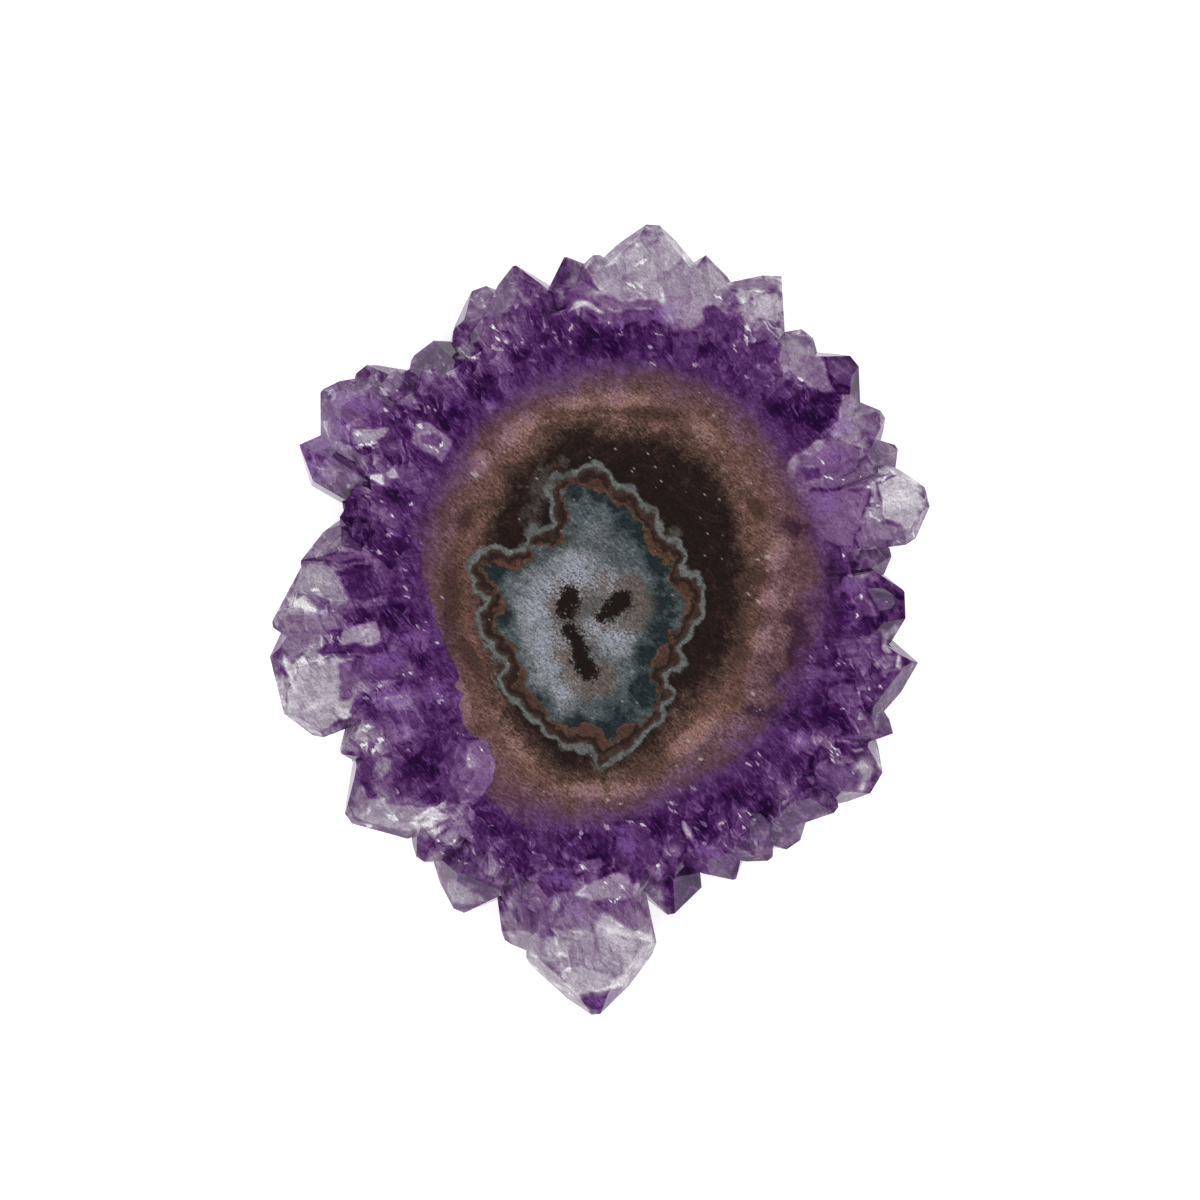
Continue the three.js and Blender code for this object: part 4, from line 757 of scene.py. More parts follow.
def crystal_from(row):
    """A crystal's faces, as normals and offsets, with its tip, its axis and a line across it."""
    at, reach, girth, level, lean, swing, roll, skew, ridge = row[:9]
    length = reach - straight_radius_at(CORE_RADII, at) + ROOT_DEPTH
    around = (np.arange(6) + 0.5) * math.pi / 3
    side = np.stack([np.sin(around), np.zeros(6), np.cos(around)], axis=1)
    inner = math.cos(math.pi / 6)
    taper = inner * girth * (1 - ROOT_GIRTH) / length
    prism = side + np.array([0, -taper, 0])
    prism_offset = np.full(6, inner * girth * ROOT_GIRTH)
    ends = side * math.cos(FACE_ANGLE) + np.array([0, math.sin(FACE_ANGLE), 0])
    upright = np.cos(around + math.radians(roll)) ** 2
    set_back = np.array(UNEVEN) * skew + upright * ridge
    end_offset = (length - set_back) * math.sin(FACE_ANGLE)
    turned, tilt, heading = math.radians(at + swing), math.radians(lean), math.radians(at)
    axis = np.array([math.cos(turned) * math.cos(tilt), math.sin(turned) * math.cos(tilt), math.sin(tilt)])
    across = np.cross([0, 0, 1], axis)
    across /= np.linalg.norm(across)
    over = np.cross(across, axis)
    spin = math.radians(roll)
    rolled = np.array([[math.cos(spin), 0, math.sin(spin)], [0, 1, 0], [-math.sin(spin), 0, math.cos(spin)]])
    basis = np.stack([across, axis, over], axis=1) @ rolled
    tip = np.array([reach * math.cos(heading) + AXIS[0], reach * math.sin(heading) + AXIS[1], level])
    normals = np.concatenate([prism, ends]) @ basis.T
    foot = tip - axis * highest_corner(ends, end_offset)
    offsets = np.concatenate([prism_offset, end_offset]) + normals @ foot
    return Crystal(normals, offsets, tip, axis, across)


def owner_of(crystals, places):
    """Which crystal each place is deepest inside."""
    deepest = np.full(len(places), -FAR)
    owner = np.zeros(len(places), int)
    for number, crystal in enumerate(crystals):
        depth = np.min(crystal.offsets - places @ crystal.normals.T, axis=1)
        owner = np.where(depth > deepest, number, owner)
        deepest = np.maximum(depth, deepest)
    return owner


def painted_facet_shade_and_tone(crystals, places, owner):
    """Painted shade and tone: how bright the crystal's lower face straight below each point is painted, from
    -1 to 1, brighter where the face turns to the side the light is taken to come from, with a random part for
    each face.
    """
    tones = np.zeros(len(places))
    for number, crystal in enumerate(crystals):
        mine = owner == number
        if not mine.any():
            continue
        below = crystal.normals[:, 2] < FACING_DOWN
        normals = crystal.normals[below]
        drop = (crystal.offsets[below] - places[mine] @ normals.T) / -normals[:, 2]
        face = np.argmin(drop, axis=1)
        own = seeded(number * FACET_SEED_STEP + FACET_SEED)
        scatter = np.array([next(own) for _ in crystal.normals])[below] - 0.5
        tones[mine] = (normals[:, :2] @ PAINTED_LIGHT_SIDE + FACET_SCATTER * scatter)[face]
    return tones


# ---- meshes ----


def on_cut(face):
    """Whether a face lies on one of the two saw cuts."""
    return abs(face.normal.z) > UPRIGHT


def working_copy(node_name):
    """A CAD node's mesh as a bmesh of whole faces: its loose triangles merged and its flat faces joined."""
    bm = bmesh.new()
    bm.from_mesh(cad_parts[node_name].data)
    bmesh.ops.remove_doubles(bm, verts=bm.verts, dist=TOUCHING * MM)
    bmesh.ops.dissolve_limit(bm, angle_limit=ONE_FACE, verts=bm.verts, edges=bm.edges)
    return bm


def cut_in_squares(bm, spacing):
    """Cuts the two flat faces into squares."""
    for axis in (0, 1):
        normal = Vector((0, 0, 0))
        normal[axis] = 1
        flat = [f for f in bm.faces if on_cut(f)]
        low = min(v.co[axis] for f in flat for v in f.verts)
        high = max(v.co[axis] for f in flat for v in f.verts)
        place = (math.floor(low / spacing) + 1) * spacing
        while place < high:
            geometry = set()
            for face in flat:
                if min(v.co[axis] for v in face.verts) < place < max(v.co[axis] for v in face.verts):
                    geometry.update([face, *face.edges, *face.verts])
            plane = {"plane_co": normal * place, "plane_no": normal}
            bmesh.ops.bisect_plane(bm, geom=list(geometry), dist=SPLITTING * MM, **plane)
            flat = [f for f in bm.faces if on_cut(f)]
            flat = [f for f in flat if max(v.co[axis] for v in f.verts) > place]
            place += spacing


def refine_cuts(bm, upper, lower):
    """Divides the squares of the upper and the lower cut evenly."""
    for upwards, cuts in ((1, upper), (-1, lower)):
        flat = [f for f in bm.faces if f.normal.z * upwards > UPRIGHT]
        bmesh.ops.triangulate(bm, faces=[f for f in flat if len(f.verts) != 4])
        edges = {e for f in bm.faces if f.normal.z * upwards > UPRIGHT for e in f.edges}
        bmesh.ops.subdivide_edges(bm, edges=list(edges), cuts=cuts, use_grid_fill=True)


def new_piece(name, bm):
    """Turns a finished bmesh into an object in the scene."""
    mesh = bpy.data.meshes.new(name)
    bm.normal_update()
    bm.to_mesh(mesh)
    bm.free()
    piece = bpy.data.objects.new(name, mesh)
    bpy.context.scene.collection.objects.link(piece)
    return piece


def values_of(items, name, kind=np.float32):
    """One number for each point, face or corner of a mesh."""
    values = np.zeros(len(items), kind)
    items.foreach_get(name, values)
    return values


def vectors_of(items, name):
    """As values_of, for three numbers each."""
    values = np.zeros(len(items) * 3, np.float32)
    items.foreach_get(name, values)
    return values.reshape(-1, 3)


def put_values(mesh, name, values, domain="POINT"):
    """Stores one number for each point or corner, which the material reads."""
    attribute = mesh.attributes.new(name, "FLOAT", domain)
    attribute.data.foreach_set("value", np.asarray(values, np.float32))


def shared_fields(mesh):
    """Stores what both pieces read: how far each point is outside the dark agate, the core and the halo, how
    crisp, light and mauve the halo is there, and where the film and the painted highlights of the glints are.
    Returns the points."""
    places = vectors_of(mesh.vertices, "co").astype(float) / MM
    flat = places[:, :2]
    offset = flat - AXIS
    bearing = np.degrees(np.arctan2(offset[:, 1], offset[:, 0]))
    radius = np.hypot(*offset.T)
    past_core = radius - radius_at(CORE_RADII, bearing)
    put_values(mesh, "past_dark", radius - radius_at(DARK_RADII, bearing))
    put_values(mesh, "past_core", past_core)
    put_values(mesh, "past_halo", past_core - radius_at(HALO_REACH, bearing))
    put_values(mesh, "crisp", np.clip(radius_at(CRISPNESS, bearing), 0, 1))
    put_values(mesh, "halo_tone", marks(HALO_PALE, flat) - marks(HALO_DARK, flat))
    put_values(mesh, "halo_mauve", marks(HALO_MAUVE, flat))
    put_values(mesh, "film", distance_into(np.array(FILM), flat))
    upper = upper_share(places)
    glints = marks(GLINTS, flat, GLINT_POWER, GLINT_FLOOR)
    put_values(mesh, "glint", glints * upper + GLINT_FLOOR * (1 - upper))
    return places


# ---- materials ----

# In what follows a pattern's weight says how far it pushes a shade, or how many millimetres it moves an edge.
# A number for a socket is its place on the node: 0 to 2 are a Math node's values, 0 to 4 are a MapRange's
# value and the two ends of its ranges, and 2 and 3 or 6 and 7 are what a Mix goes between.
SMOOTH = {"interpolation_type": "SMOOTHSTEP"}
BLEND = {"out": 2, "data_type": "RGBA"}
STRETCH = {"vector_type": "TEXTURE"}


def srgb(code):
    """A six-digit sRGB hex colour as linear red, green, blue and alpha."""
    parts = [int(code[i : i + 2], 16) / 255 for i in (1, 3, 5)]
    return [p / 12.92 if p <= 0.04045 else ((p + 0.055) / 1.055) ** 2.4 for p in parts] + [1.0]


def add(tree, kind, inputs=None, out=0, stops=None, **settings):
    """Adds a shader node and returns one of its outputs. inputs maps its sockets to values or to other nodes'
    outputs, and stops are the colours of a ramp."""
    node = tree.nodes.new("ShaderNode" + kind)
    for name, value in settings.items():
        setattr(node, name, value)
    for name, value in (inputs or {}).items():
        if isinstance(value, bpy.types.NodeSocket):
            tree.links.new(value, node.inputs[name])
        else:
            node.inputs[name].default_value = value
    if stops:
        elements = node.color_ramp.elements
        while len(elements) < len(stops):
            elements.new(1.0)
        for element, (position, colour) in zip(elements, stops):
            element.position = position
            element.color = srgb(colour) if isinstance(colour, str) else (colour, colour, colour, 1)
    return node.outputs[out]


def total(tree, start, *parts):
    """Adds up weighted patterns. Each part is a pattern, its weight and its middle, 0.5 unless given."""
    value = start
    for pattern, weight, *middle in parts:
        centred = add(tree, "Math", {0: pattern, 1: middle[0] if middle else 0.5}, operation="SUBTRACT")
        value = add(tree, "Math", {0: centred, 1: weight, 2: value}, operation="MULTIPLY_ADD")
    return value


def new_material(name):
    """A node material with only a shader and an output."""
    material = bpy.data.materials.new(name)
    material.use_nodes = True
    tree = material.node_tree
    return material, tree, tree.nodes["Principled BSDF"], tree.nodes["Material Output"]


def shared_patterns(tree):
    """Patterns that run through the core and the crust alike: places in millimetres, the slanting grain that
    the saw and the polish leave, fine grit, a mottle and a broad cloud."""
    place = add(tree, "TexCoord", out="Object")
    mm = add(tree, "Mapping", {"Vector": place, "Scale": (1 / MM, 1 / MM, 1 / MM)})
    # Real grain and grit are finer than 0.1 mm. They are drawn coarser so that they show: the grain 0.55 by
    # 0.2 mm, and the grit a sixth of a millimetre. The mottle is about 1 mm wide and the cloud 3 mm.
    slant = {"Vector": mm, "Rotation": (0, 0, GRAIN_SLANT), "Scale": (0.55, 0.2, 0.5)}
    slanted = add(tree, "Mapping", slant, **STRETCH)
    grain = add(tree, "TexNoise", {"Vector": slanted, "Scale": 1.0, "Detail": 2.0, "Roughness": 0.8})
    grit = add(tree, "TexNoise", {"Vector": mm, "Scale": 6.0, "Detail": 1.0, "Roughness": 0.7})
    mottle = add(tree, "TexNoise", {"Vector": mm, "Scale": 1.1, "Detail": 4.0, "Roughness": 0.65})
    cloud = add(tree, "TexNoise", {"Vector": mm, "Scale": 0.3, "Detail": 2.0})
    return mm, grain, grit, mottle, cloud


def halo_colour(tree, settings, grain, mottle, cloud):
    """The brown halo round the dark agate, which turns through mauve into purple at the core's edge."""
    past_halo, crisp, tone, redder = (
        add(tree, "Attribute", out="Fac", attribute_name=name)
        for name in ("past_halo", "crisp", "halo_tone", "halo_mauve")
    )
    shade = total(tree, 0.5, (grain, 0.8), (mottle, 0.9), (cloud, 0.6), (tone, 0.9, 0.0))
    stops = [(0.0, settings.halo_dark), (0.5, settings.halo), (1.0, settings.halo_light)]
    brown = add(tree, "ValToRGB", {"Fac": shade}, stops=stops)
    edge = total(tree, past_halo, (cloud, 4.0), (mottle, 3.0), (grain, 1.0))
    stops = [(0.0, settings.mauve_dark), (0.5, settings.mauve), (1.0, settings.mauve_light)]
    mauve = add(tree, "ValToRGB", {"Fac": shade}, stops=stops)
    shade = total(tree, 0.5, (grain, 0.8), (mottle, 1.6))
    stops = [(0.1, settings.root_dark), (0.9, settings.root_light)]
    purple = add(tree, "ValToRGB", {"Fac": shade}, stops=stops)
    soft = add(tree, "Math", {0: crisp, 1: -0.7, 2: 1.0}, operation="MULTIPLY_ADD")
    turn = total(tree, edge, (redder, 4.0, 0.0))
    turn = add(tree, "MapRange", {0: turn, 1: -2.6, 2: 0.0, 4: soft}, **SMOOTH)
    warm = add(tree, "Mix", {0: turn, 6: brown, 7: mauve}, **BLEND)
    turn = add(tree, "MapRange", {0: edge, 1: -0.9, 2: 1.7, 4: soft}, **SMOOTH)
    return add(tree, "Mix", {0: turn, 6: warm, 7: purple}, **BLEND)


def film_edge(tree, mottle):
    """1 where the film of quartz lies, with a crisp ragged edge."""
    film = add(tree, "Attribute", out="Fac", attribute_name="film")
    ragged = total(tree, film, (mottle, 0.8))
    return add(tree, "MapRange", {0: ragged, 1: -0.08, 2: 0.08})


def glint_share(tree, mm, mottle):
    """1 where a painted highlight lies on the cracks that catch the light, slivers with frayed ends. Also
    gives what frays them.
    """
    glint = add(tree, "Attribute", out="Fac", attribute_name="glint")
    needles = {"Vector": mm, "Rotation": (0, 0, math.radians(-48)), "Scale": (0.7, 0.16, 0.5)}
    needles = add(tree, "Mapping", needles, **STRETCH)
    needle = add(tree, "TexNoise", {"Vector": needles, "Scale": 1.0, "Detail": 2.0, "Roughness": 0.6})
    frayed = total(tree, glint, (needle, 3.0), (mottle, 2.0))
    return add(tree, "MapRange", {0: frayed, 1: 0.0, 2: 0.6}, **SMOOTH), needle


def gritty(tree, colour, grain, grit, strength):
    """The colour broken up by the grain and the grit, lighter and darker."""
    value = total(tree, 1.0, (grain, 1.6 * strength), (grit, 1.5 * strength))
    return add(tree, "HueSaturation", {"Color": colour, "Value": value})


def agate_material(settings, amethyst):
    """Agate, sawn and polished: opaque chalcedony bands under a glassy polish with a trace of saw grain."""
    material, tree, shader, _ = new_material("polished_agate")
    mm, grain, grit, mottle, cloud = shared_patterns(tree)
    halo = halo_colour(tree, amethyst, grain, mottle, cloud)
    into_nodule, past_dark, chalcedony, teal, rust, pocket, spot, blur = (
        add(tree, "Attribute", out="Fac", attribute_name=name)
        for name in ("into_nodule", "past_dark", "chalcedony", "teal", "rust", "pocket", "spot", "blur")
    )

    # Round the nodule: dark agate, grainy where it meets the halo.
    shade = total(tree, 0.25, (grain, 1.0), (mottle, 1.6), (past_dark, 0.06, -3.0))
    stops = [(0.1, settings.darkest), (0.5, settings.dark), (1.0, settings.dark_mottle)]
    dark = add(tree, "ValToRGB", {"Fac": shade}, stops=stops)
    edge = total(tree, past_dark, (mottle, 3.0), (grain, 1.5), (cloud, 3.0), (grit, 1.0))
    turn = add(tree, "MapRange", {0: edge, 1: -1.0, 2: 1.2}, **SMOOTH)
    brown = add(tree, "Mix", {0: turn, 6: dark, 7: srgb(settings.brown)}, **BLEND)
    turn = add(tree, "MapRange", {0: edge, 1: 0.0, 2: 2.2}, **SMOOTH)
    ground = add(tree, "Mix", {0: turn, 6: brown, 7: halo}, **BLEND)
    blurred = total(tree, blur, (into_nodule, 0.45, -0.4), (mottle, 0.8), (grain, 0.8))
    blurred = add(tree, "MapRange", {0: blurred, 1: 0.1, 2: 1.0, 4: 0.6}, **SMOOTH)
    ground = add(tree, "Mix", {0: blurred, 6: ground, 7: srgb(settings.blur)}, **BLEND)

    # The nodule's bands follow its outline in small lobes, with cusps that point inwards.
    lobe = add(tree, "TexVoronoi", {"Vector": mm, "Scale": 0.8}, out="Distance")
    depth = total(tree, into_nodule, (lobe, -0.9, 0.4), (mottle, 0.9), (grain, 0.25))
    across_bands = add(tree, "MapRange", {0: depth, 1: -0.6, 2: 1.9})
    stops = [
        (0.04, settings.dark),
        (0.17, settings.line),
        (0.27, settings.line),
        (0.35, settings.band_brown),
        (0.41, settings.band_brown),
        (0.48, settings.band_dark),
        (0.58, settings.band_dark),
        (0.66, settings.band_rust),
        (0.95, settings.band_rust),
    ]
    bands = add(tree, "ValToRGB", {"Fac": across_bands}, stops=stops)
    grains = total(tree, 0.5, (mottle, 1.4), (grit, 1.0), (cloud, 0.8))
    grains = add(tree, "MapRange", {0: grains, 1: 0.5, 2: 0.8, 4: 0.55}, **SMOOTH)
    bands = add(tree, "Mix", {0: grains, 6: bands, 7: srgb(settings.band_dark)}, **BLEND)

    # Within them dark teal blobs line the wall, and the ground pales to slate and to lavender chalcedony.
    small_lobe = add(tree, "TexVoronoi", {"Vector": mm, "Scale": 1.5}, out="Distance")
    wall_parts = [(cloud, 1.6), (mottle, 1.8), (small_lobe, -0.8, 0.4), (pocket, -1.0, 0.0)]
    deep = total(tree, into_nodule, *wall_parts)
    wall = total(tree, deep, (small_lobe, -1.6, 0.4), (teal, -2.4, 0.6))
    wall = add(tree, "MapRange", {0: wall, 1: 4.2, 2: 0.6}, **SMOOTH)
    ground_parts = [
        (chalcedony, 0.5, 0.0),
        (teal, -0.14, 0.0),
        (wall, -0.34, 0.0),
        (mottle, 0.7),
        (cloud, 0.4),
        (grain, 0.3),
        (small_lobe, 0.12, 0.4),
    ]
    stops = [
        (0.0, settings.teal),
        (0.4, settings.slate),
        (0.72, settings.grey),
        (1.0, settings.chalcedony),
    ]
    inside = add(tree, "ValToRGB", {"Fac": total(tree, 0.42, *ground_parts)}, stops=stops)

    # A granular brown halo lies round the dark spots.
    near = total(tree, spot, (mottle, 1.5), (grain, 0.7), (grit, 0.9))
    granular = total(tree, near, (grit, 5.0), (rust, -1.8, 0.0), (mottle, 2.5), (grain, 1.5))
    granular = add(tree, "MapRange", {0: granular, 1: 1.3, 2: -0.3, 4: 0.7}, **SMOOTH)
    inside = add(tree, "Mix", {0: granular, 6: inside, 7: srgb(settings.rust)}, **BLEND)
    in_spot = add(tree, "MapRange", {0: near, 1: 0.3, 2: -0.15}, **SMOOTH)
    inside = add(tree, "Mix", {0: in_spot, 6: inside, 7: srgb(settings.darkest)}, **BLEND)

    # A thin lighter edge lies between the bands and what they enclose.
    within = add(tree, "MapRange", {0: deep, 1: 0.9, 2: 1.3}, **SMOOTH)
    nodule = add(tree, "Mix", {0: within, 6: bands, 7: inside}, **BLEND)
    rim = add(tree, "Math", {0: deep, 1: 0.95, 2: 0.14}, operation="COMPARE")
    rim = add(tree, "MapRange", {0: rim, 4: 0.3})
    nodule = add(tree, "Mix", {0: rim, 6: nodule, 7: srgb(settings.rust_edge)}, **BLEND)
    entry = add(tree, "MapRange", {0: depth, 1: -0.5, 2: -0.15}, **SMOOTH)
    colour = add(tree, "Mix", {0: entry, 6: ground, 7: nodule}, **BLEND)

    # Bright specks of quartz, here and there, and painted highlights where cracks catch the light, in the
    # same colour.
    specks = {"Vector": mm, "Rotation": (0, 0, GRAIN_SLANT), "Scale": (1.1, 0.5, 1.0)}
    specks = add(tree, "Mapping", specks, **STRETCH)
    cell = add(tree, "TexVoronoi", {"Vector": specks, "Scale": 1.0}, out="Distance").node.outputs
    chosen = add(tree, "SeparateColor", {0: cell["Color"]})
    chosen = add(tree, "MapRange", {0: chosen, 1: 0.55, 2: 0.95, 4: 0.75})
    speck_and_glint = add(tree, "MapRange", {0: cell["Distance"], 1: 0.17, 2: 0.05}, **SMOOTH)
    speck_and_glint = add(tree, "Math", {0: speck_and_glint, 1: chosen}, operation="MULTIPLY")
    glint, _ = glint_share(tree, mm, mottle)
    glint = add(tree, "Math", {0: glint, 1: 0.75}, operation="MULTIPLY")
    speck_and_glint = add(tree, "Math", {0: speck_and_glint, 1: glint}, operation="MAXIMUM")
    film = film_edge(tree, mottle)
    colour = add(tree, "Mix", {0: film, 6: colour, 7: srgb(settings.film)}, **BLEND)
    colour = gritty(tree, colour, grain, grit, 1.3)
    colour = add(tree, "Mix", {0: speck_and_glint, 6: colour, 7: srgb(settings.speck_and_glint)}, **BLEND)
    tree.links.new(colour, shader.inputs["Base Color"])
    shader.inputs["IOR"].default_value = QUARTZ_IOR
    shader.inputs["Roughness"].default_value = settings.roughness
    bump = add(tree, "Bump", {"Strength": 0.15, "Distance": 0.02 * MM, "Height": grain})
    tree.links.new(bump, shader.inputs["Normal"])
    return material


def broken(tree, place):
    """Shards between healed cracks, each with its own tone, and with painted shade that makes it brighter
    towards one side as if it were tilted to the light.
    """
    cell = add(tree, "TexVoronoi", {"Vector": place, "Scale": 1.0}, out="Color").node.outputs
    away = add(tree, "VectorMath", {0: place, 1: cell["Position"]}, operation="SUBTRACT")
    tilt = add(tree, "VectorMath", {0: cell["Color"], 1: (0.5, 0.5, 0.5)}, operation="SUBTRACT")
    painted_tilt_shade = add(tree, "VectorMath", {0: away, 1: tilt}, out="Value", operation="DOT_PRODUCT")
    own = add(tree, "SeparateColor", {0: cell["Color"]})
    return total(tree, 0.0, (own, 1.0), (painted_tilt_shade, 1.8, 0.0))


def amethyst_material(settings):
    """Amethyst: see-through quartz, zoned from deep purple at the root to pale at the tips. The cut is
    polished and the crystals' own faces are glassy, with veils, healed cracks and growth lines inside. Its
    colour also carries painted shade on facets, shards and the crystals' own faces, and painted highlights on
    cracks."""
    material, tree, shader, output = new_material("amethyst_quartz")
    mm, grain, grit, mottle, cloud = shared_patterns(tree)
    root = halo_colour(tree, settings, grain, mottle, cloud)
    past_core, past_halo, crisp, veil, violet, deep = (
        add(tree, "Attribute", out="Fac", attribute_name=name)
        for name in ("past_core", "past_halo", "crisp", "veil", "violet", "deep")
    )
    pale, light, back, facet_shade_and_tone, level, cover, outline = (
        add(tree, "Attribute", out="Fac", attribute_name=name)
        for name in ("pale", "light", "back", "facet_shade_and_tone", "level", "cover", "outline")
    )
    growth = add(tree, "Attribute", out="Vector", attribute_name="growth")

    # Growth lines along each crystal, and shards of two sizes between healed cracks, with painted shade as if
    # each were tilted.
    lines = add(tree, "Mapping", {"Vector": growth, "Scale": (2.2, 0.4, 1.0)}, **STRETCH)
    streaks = add(tree, "TexNoise", {"Vector": lines, "Scale": 1.0, "Detail": 3.0, "Roughness": 0.65})
    bend = add(tree, "TexNoise", {"Vector": mm, "Scale": 0.6, "Detail": 1.0}, out="Color")
    bend = add(tree, "VectorMath", {0: bend, 1: (0.5, 0.5, 0.5)}, operation="SUBTRACT")
    bent = add(tree, "VectorMath", {0: bend, 1: (1.6, 1.6, 1.6), 2: mm}, operation="MULTIPLY_ADD")
    wide = {"Vector": bent, "Rotation": (0, 0, math.radians(-50)), "Scale": (2.6, 1.2, 1.6)}
    shard = broken(tree, add(tree, "Mapping", wide, **STRETCH))
    narrow = {"Vector": bent, "Rotation": (0, 0, math.radians(-62)), "Scale": (1.1, 0.42, 0.8)}
    splinter = broken(tree, add(tree, "Mapping", narrow, **STRETCH))
    chosen = add(tree, "MapRange", {0: splinter, 1: 0.5, 2: 0.8}, **SMOOTH)

    # How light the quartz's colour is made, from the darkest purple at 0 to the white of a painted highlight
    # at 1. It holds the quartz's own zoning and tone, and also painted shade on facets and shards and painted
    # highlights on cracks and outlines.
    outwards = add(tree, "MapRange", {0: past_core, 1: 1.5, 2: 6.5}, **SMOOTH)
    from_core = add(tree, "MapRange", {0: total(tree, past_core, (cloud, 7.0)), 1: 0.0, 2: 12.0})
    stops = [(0.0, 0.35), (0.12, 0.31), (0.26, 0.25), (0.4, 0.32), (0.55, 0.39), (0.75, 0.43), (1.0, 0.46)]
    zone = add(tree, "ValToRGB", {"Fac": from_core}, stops=stops)
    own = add(tree, "Math", {0: light, 1: 0.45}, operation="SUBTRACT")
    near_tip = add(tree, "MapRange", {0: total(tree, back, (cloud, 7.0)), 1: 8.5, 2: 1.5}, **SMOOTH)
    tip = add(tree, "Math", {0: pale, 1: near_tip}, operation="MULTIPLY")
    # The crystal's own lightness with the painted shade of its own faces, painted shade on the facets below
    # the cut, and shards painted as if tilted to the light.
    outer_parts = [
        (own, 0.36, 0.0),
        (facet_shade_and_tone, 0.16, 0.0),
        (shard, 0.1, 0.0),
        (splinter, 0.07, 0.0),
        (chosen, 0.12, 0.0),
    ]
    outer = total(tree, 0.0, *outer_parts)
    outer = add(tree, "Math", {0: outer, 1: outwards}, operation="MULTIPLY")
    painted_glint, needle = glint_share(tree, mm, mottle)
    lightness_parts = [
        (outer, 1.0, 0.0),
        (tip, 0.3, 0.0),
        (cloud, 0.35),
        (mottle, 0.35),
        (needle, 0.3),
        (streaks, 0.35),
        (splinter, 0.1, 0.0),
        (shard, 0.07, 0.0),
        (deep, -0.32, 0.0),
        (violet, 0.2, 0.0),
        (veil, 0.26, 0.0),
    ]
    lightness = total(tree, zone, *lightness_parts)
    level_parts = [
        (mottle, 0.18),
        (streaks, 0.18),
        (splinter, 0.07, 0.0),
        (cloud, 0.22),
        (needle, 0.2),
        (veil, 0.12, 0.2),
    ]
    own_level = total(tree, level, *level_parts)
    covered = add(tree, "Math", {0: cover, 1: 0.9}, operation="MULTIPLY")
    lightness = add(tree, "Mix", {0: covered, 2: lightness, 3: own_level})
    # Painted highlights and painted shade along the shapes' outlines, lighter in some places and darker in
    # others.
    painted_edge_light_and_shade = add(tree, "TexNoise", {"Vector": mm, "Scale": 0.8, "Detail": 1.0})
    painted_edge_light_and_shade = add(tree, "MapRange", {0: painted_edge_light_and_shade, 1: 0.35, 2: 0.65, 3: -0.2, 4: 0.3})
    lightness = add(tree, "Math", {0: outline, 1: painted_edge_light_and_shade, 2: lightness}, operation="MULTIPLY_ADD")
    # Painted highlights: the cracks that catch the light are pushed towards white.
    lightness = add(tree, "Math", {0: painted_glint, 1: 0.5, 2: lightness}, operation="MULTIPLY_ADD")

    # The roots are cloudy and the tips let a third of the light through, but for the cracks. Clearer quartz
    # is less milky, so its colour is lighter to look the same.
    clear = add(tree, "MapRange", {0: past_core, 1: 3.0, 2: 10.0, 4: 0.26}, **SMOOTH)
    cloudy = add(tree, "MapRange", {0: lightness, 1: 0.75, 2: 1.0, 4: 0.5})
    clear = add(tree, "Math", {0: tip, 1: 0.08, 2: clear}, operation="MULTIPLY_ADD")
    tinted = add(tree, "MapRange", {0: lightness, 1: 0.35, 2: 0.75, 3: 0.2, 4: 1.0})
    clear = add(tree, "Math", {0: clear, 1: tinted}, operation="MULTIPLY")
    clear = add(tree, "Math", {0: clear, 1: cloudy}, operation="SUBTRACT", use_clamp=True)
    lightness = add(tree, "Math", {0: clear, 1: 0.3, 2: lightness}, operation="MULTIPLY_ADD")

    # The bright violet patches are deeper in colour, and so less clear.
    vivid = total(tree, violet, (mottle, 1.2), (needle, 2.0), (splinter, 0.4, 0.0))
    vivid = add(tree, "MapRange", {0: vivid, 1: 0.0, 2: 0.9, 4: 0.5}, **SMOOTH)
    clear = add(tree, "Math", {0: vivid, 1: -0.3, 2: clear}, operation="MULTIPLY_ADD", use_clamp=True)
    stops = [
        (0.0, settings.darkest),
        (0.2, settings.deep_purple),
        (0.4, settings.purple),
        (0.6, settings.lilac),
        (0.8, settings.clear),
        (1.0, settings.white),
    ]
    quartz = add(tree, "ValToRGB", {"Fac": lightness}, stops=stops)
    quartz = add(tree, "Mix", {0: vivid, 6: quartz, 7: srgb(settings.bright_violet)}, **BLEND)

    # The halo's brown and purple end at the roots: softly, or along the film where there is one.
    rooted = add(tree, "MapRange", {0: past_halo, 1: 0.3, 2: 1.8}, **SMOOTH)
    rooted = add(tree, "Mix", {0: crisp, 2: rooted, 3: film_edge(tree, mottle)})
    away = add(tree, "MapRange", {0: past_halo, 1: 1.6, 2: 2.6}, **SMOOTH)
    rooted = add(tree, "Math", {0: rooted, 1: away}, operation="MAXIMUM")
    colour = add(tree, "Mix", {0: rooted, 6: root, 7: quartz}, **BLEND)
    colour = gritty(tree, colour, grain, grit, 0.7)
    tree.links.new(colour, shader.inputs["Base Color"])
    tree.links.new(clear, shader.inputs["Transmission Weight"])
    shader.inputs["IOR"].default_value = QUARTZ_IOR
    shader.inputs["Specular IOR Level"].default_value = 0.25
    shader.inputs["Roughness"].default_value = settings.roughness
    bump = add(tree, "Bump", {"Strength": 0.3, "Distance": 0.06 * MM, "Height": streaks})
    tree.links.new(bump, shader.inputs["Normal"])
    depth = {"Color": srgb(settings.absorbed), "Density": settings.density}
    tree.links.new(add(tree, "VolumeAbsorption", depth), output.inputs["Volume"])
    return material


# ---- settings ----


